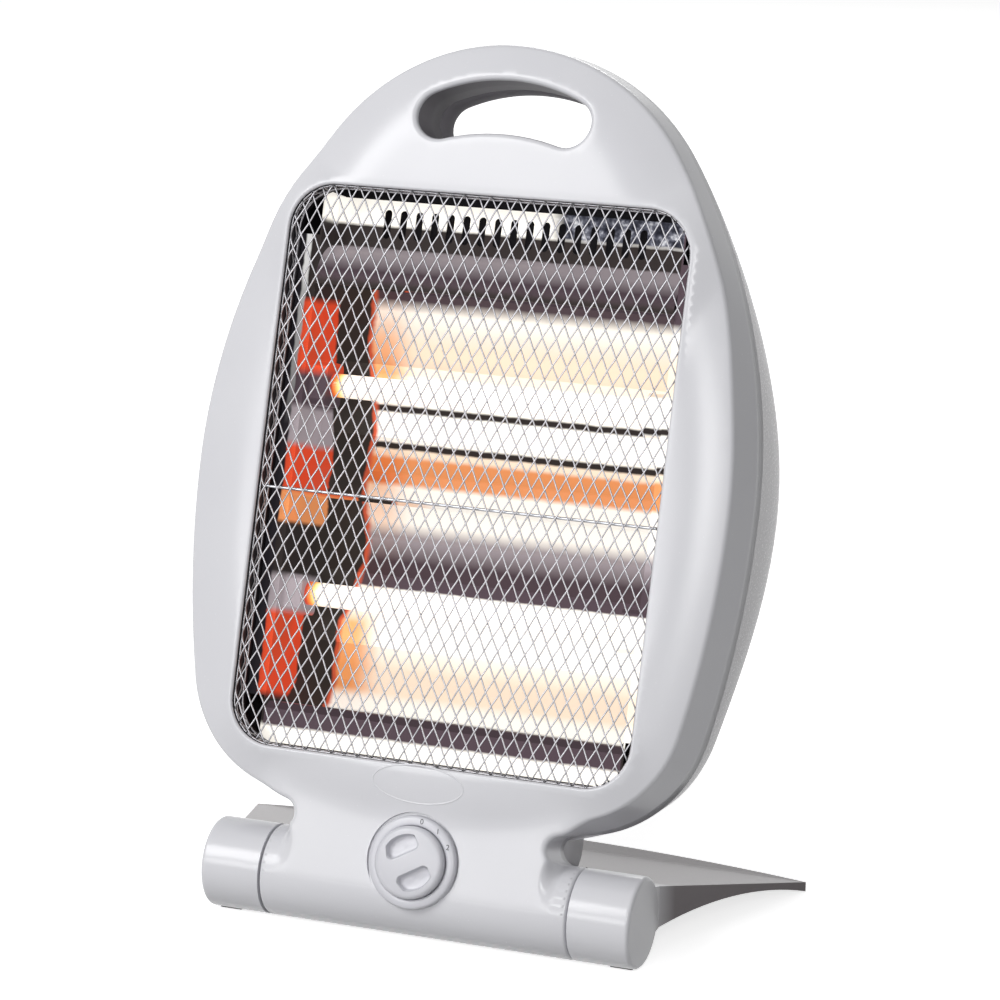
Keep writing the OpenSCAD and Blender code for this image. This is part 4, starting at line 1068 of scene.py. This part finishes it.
floorMesh = bpy.data.meshes.new("floor")
half = stage["floor"]
floorMesh.from_pydata([(-half, -half, 0), (half, -half, 0), (half, half, 0), (-half, half, 0)], [], [(0, 1, 2, 3)])
floor = bpy.data.objects.new("floor", floorMesh)
bpy.context.scene.collection.objects.link(floor)
floorPaint = bpy.data.materials.new("pale floor")
floorPaint.use_nodes = True
tree = floorPaint.node_tree
tree.nodes.clear()
seen = seenAsBackground(tree)
tone = addNode(tree, "ShaderNodeMix", {"data_type": "RGBA"}, {"Factor": seen, 6: "#8c8c8c", 7: "#f4f4f4"}).outputs[2]
sheen = addNode(tree, "ShaderNodeBsdfDiffuse", inputs={"Color": tone})
glowing = addNode(tree, "ShaderNodeMath", {"operation": "MULTIPLY"}, {0: seen, 1: stage["lift"]})
lift = addNode(tree, "ShaderNodeEmission", inputs={"Strength": glowing})
both = addNode(tree, "ShaderNodeAddShader", inputs={0: sheen.outputs[0], 1: lift.outputs[0]})
addNode(tree, "ShaderNodeOutputMaterial", inputs={"Surface": both.outputs[0]})
floorMesh.materials.append(floorPaint)

world = bpy.data.worlds.new("studio")
world.use_nodes = True
tree = world.node_tree
tree.nodes.clear()
seen = seenAsBackground(tree)
strength = addNode(tree, "ShaderNodeMapRange", inputs={"Value": seen, "To Min": stage["sky"], "To Max": 1.0})
sky = addNode(tree, "ShaderNodeBackground", inputs={"Color": (1, 1, 1, 1), "Strength": strength.outputs[0]})
addNode(tree, "ShaderNodeOutputWorld", inputs={"Surface": sky.outputs[0]})
bpy.context.scene.world = world


def softLamp(name, place, aim, size, power):
    lamp = bpy.data.lights.new(name, "AREA")
    lamp.shape = "RECTANGLE"
    lamp.size, lamp.size_y = size
    lamp.energy = power
    holder = bpy.data.objects.new(name, lamp)
    holder.location = place
    holder.rotation_euler = (Vector(aim) - Vector(place)).to_track_quat("-Z", "Y").to_euler()
    bpy.context.scene.collection.objects.link(holder)


softLamp("key lamp", (-1.25, -1.9, 1.75), (0, 0, 0.2), (1.4, 1.1), 37)
softLamp("front lamp", (-0.85, -2.35, 0.72), (0, 0, 0.15), (1.6, 0.4), 12.5)
softLamp("right lamp", (0.95, -2.3, 1.2), (0, 0, 0.2), (0.6, 0.9), 15)
softLamp("back lamp", (-0.5, 2.5, 1.4), (0, 0, 0.2), (1.0, 1.0), 13)

azimuth, elevation = math.radians(stage["azimuth"]), math.radians(stage["elevation"])
back = Vector((math.sin(azimuth) * math.cos(elevation), -math.cos(azimuth) * math.cos(elevation),
               math.sin(elevation)))
aim = Vector((0, barrelAxis.y, stage["aimHeight"]))
cameraData = bpy.data.cameras.new("camera")
cameraData.lens = stage["lens"]
cameraData.sensor_width = 36
cameraData.shift_x, cameraData.shift_y = stage["shift"]
camera = bpy.data.objects.new("camera", cameraData)
camera.location = aim + back * stage["distance"]
camera.rotation_mode = "QUATERNION"
turn = (-back).to_track_quat("-Z", "Y")
camera.rotation_quaternion = turn @ Matrix.Rotation(math.radians(stage["roll"]), 3, "Z").to_quaternion()
bpy.context.scene.collection.objects.link(camera)
bpy.context.scene.camera = camera
bpy.context.scene.view_settings.view_transform = "Standard"
print("stage set")
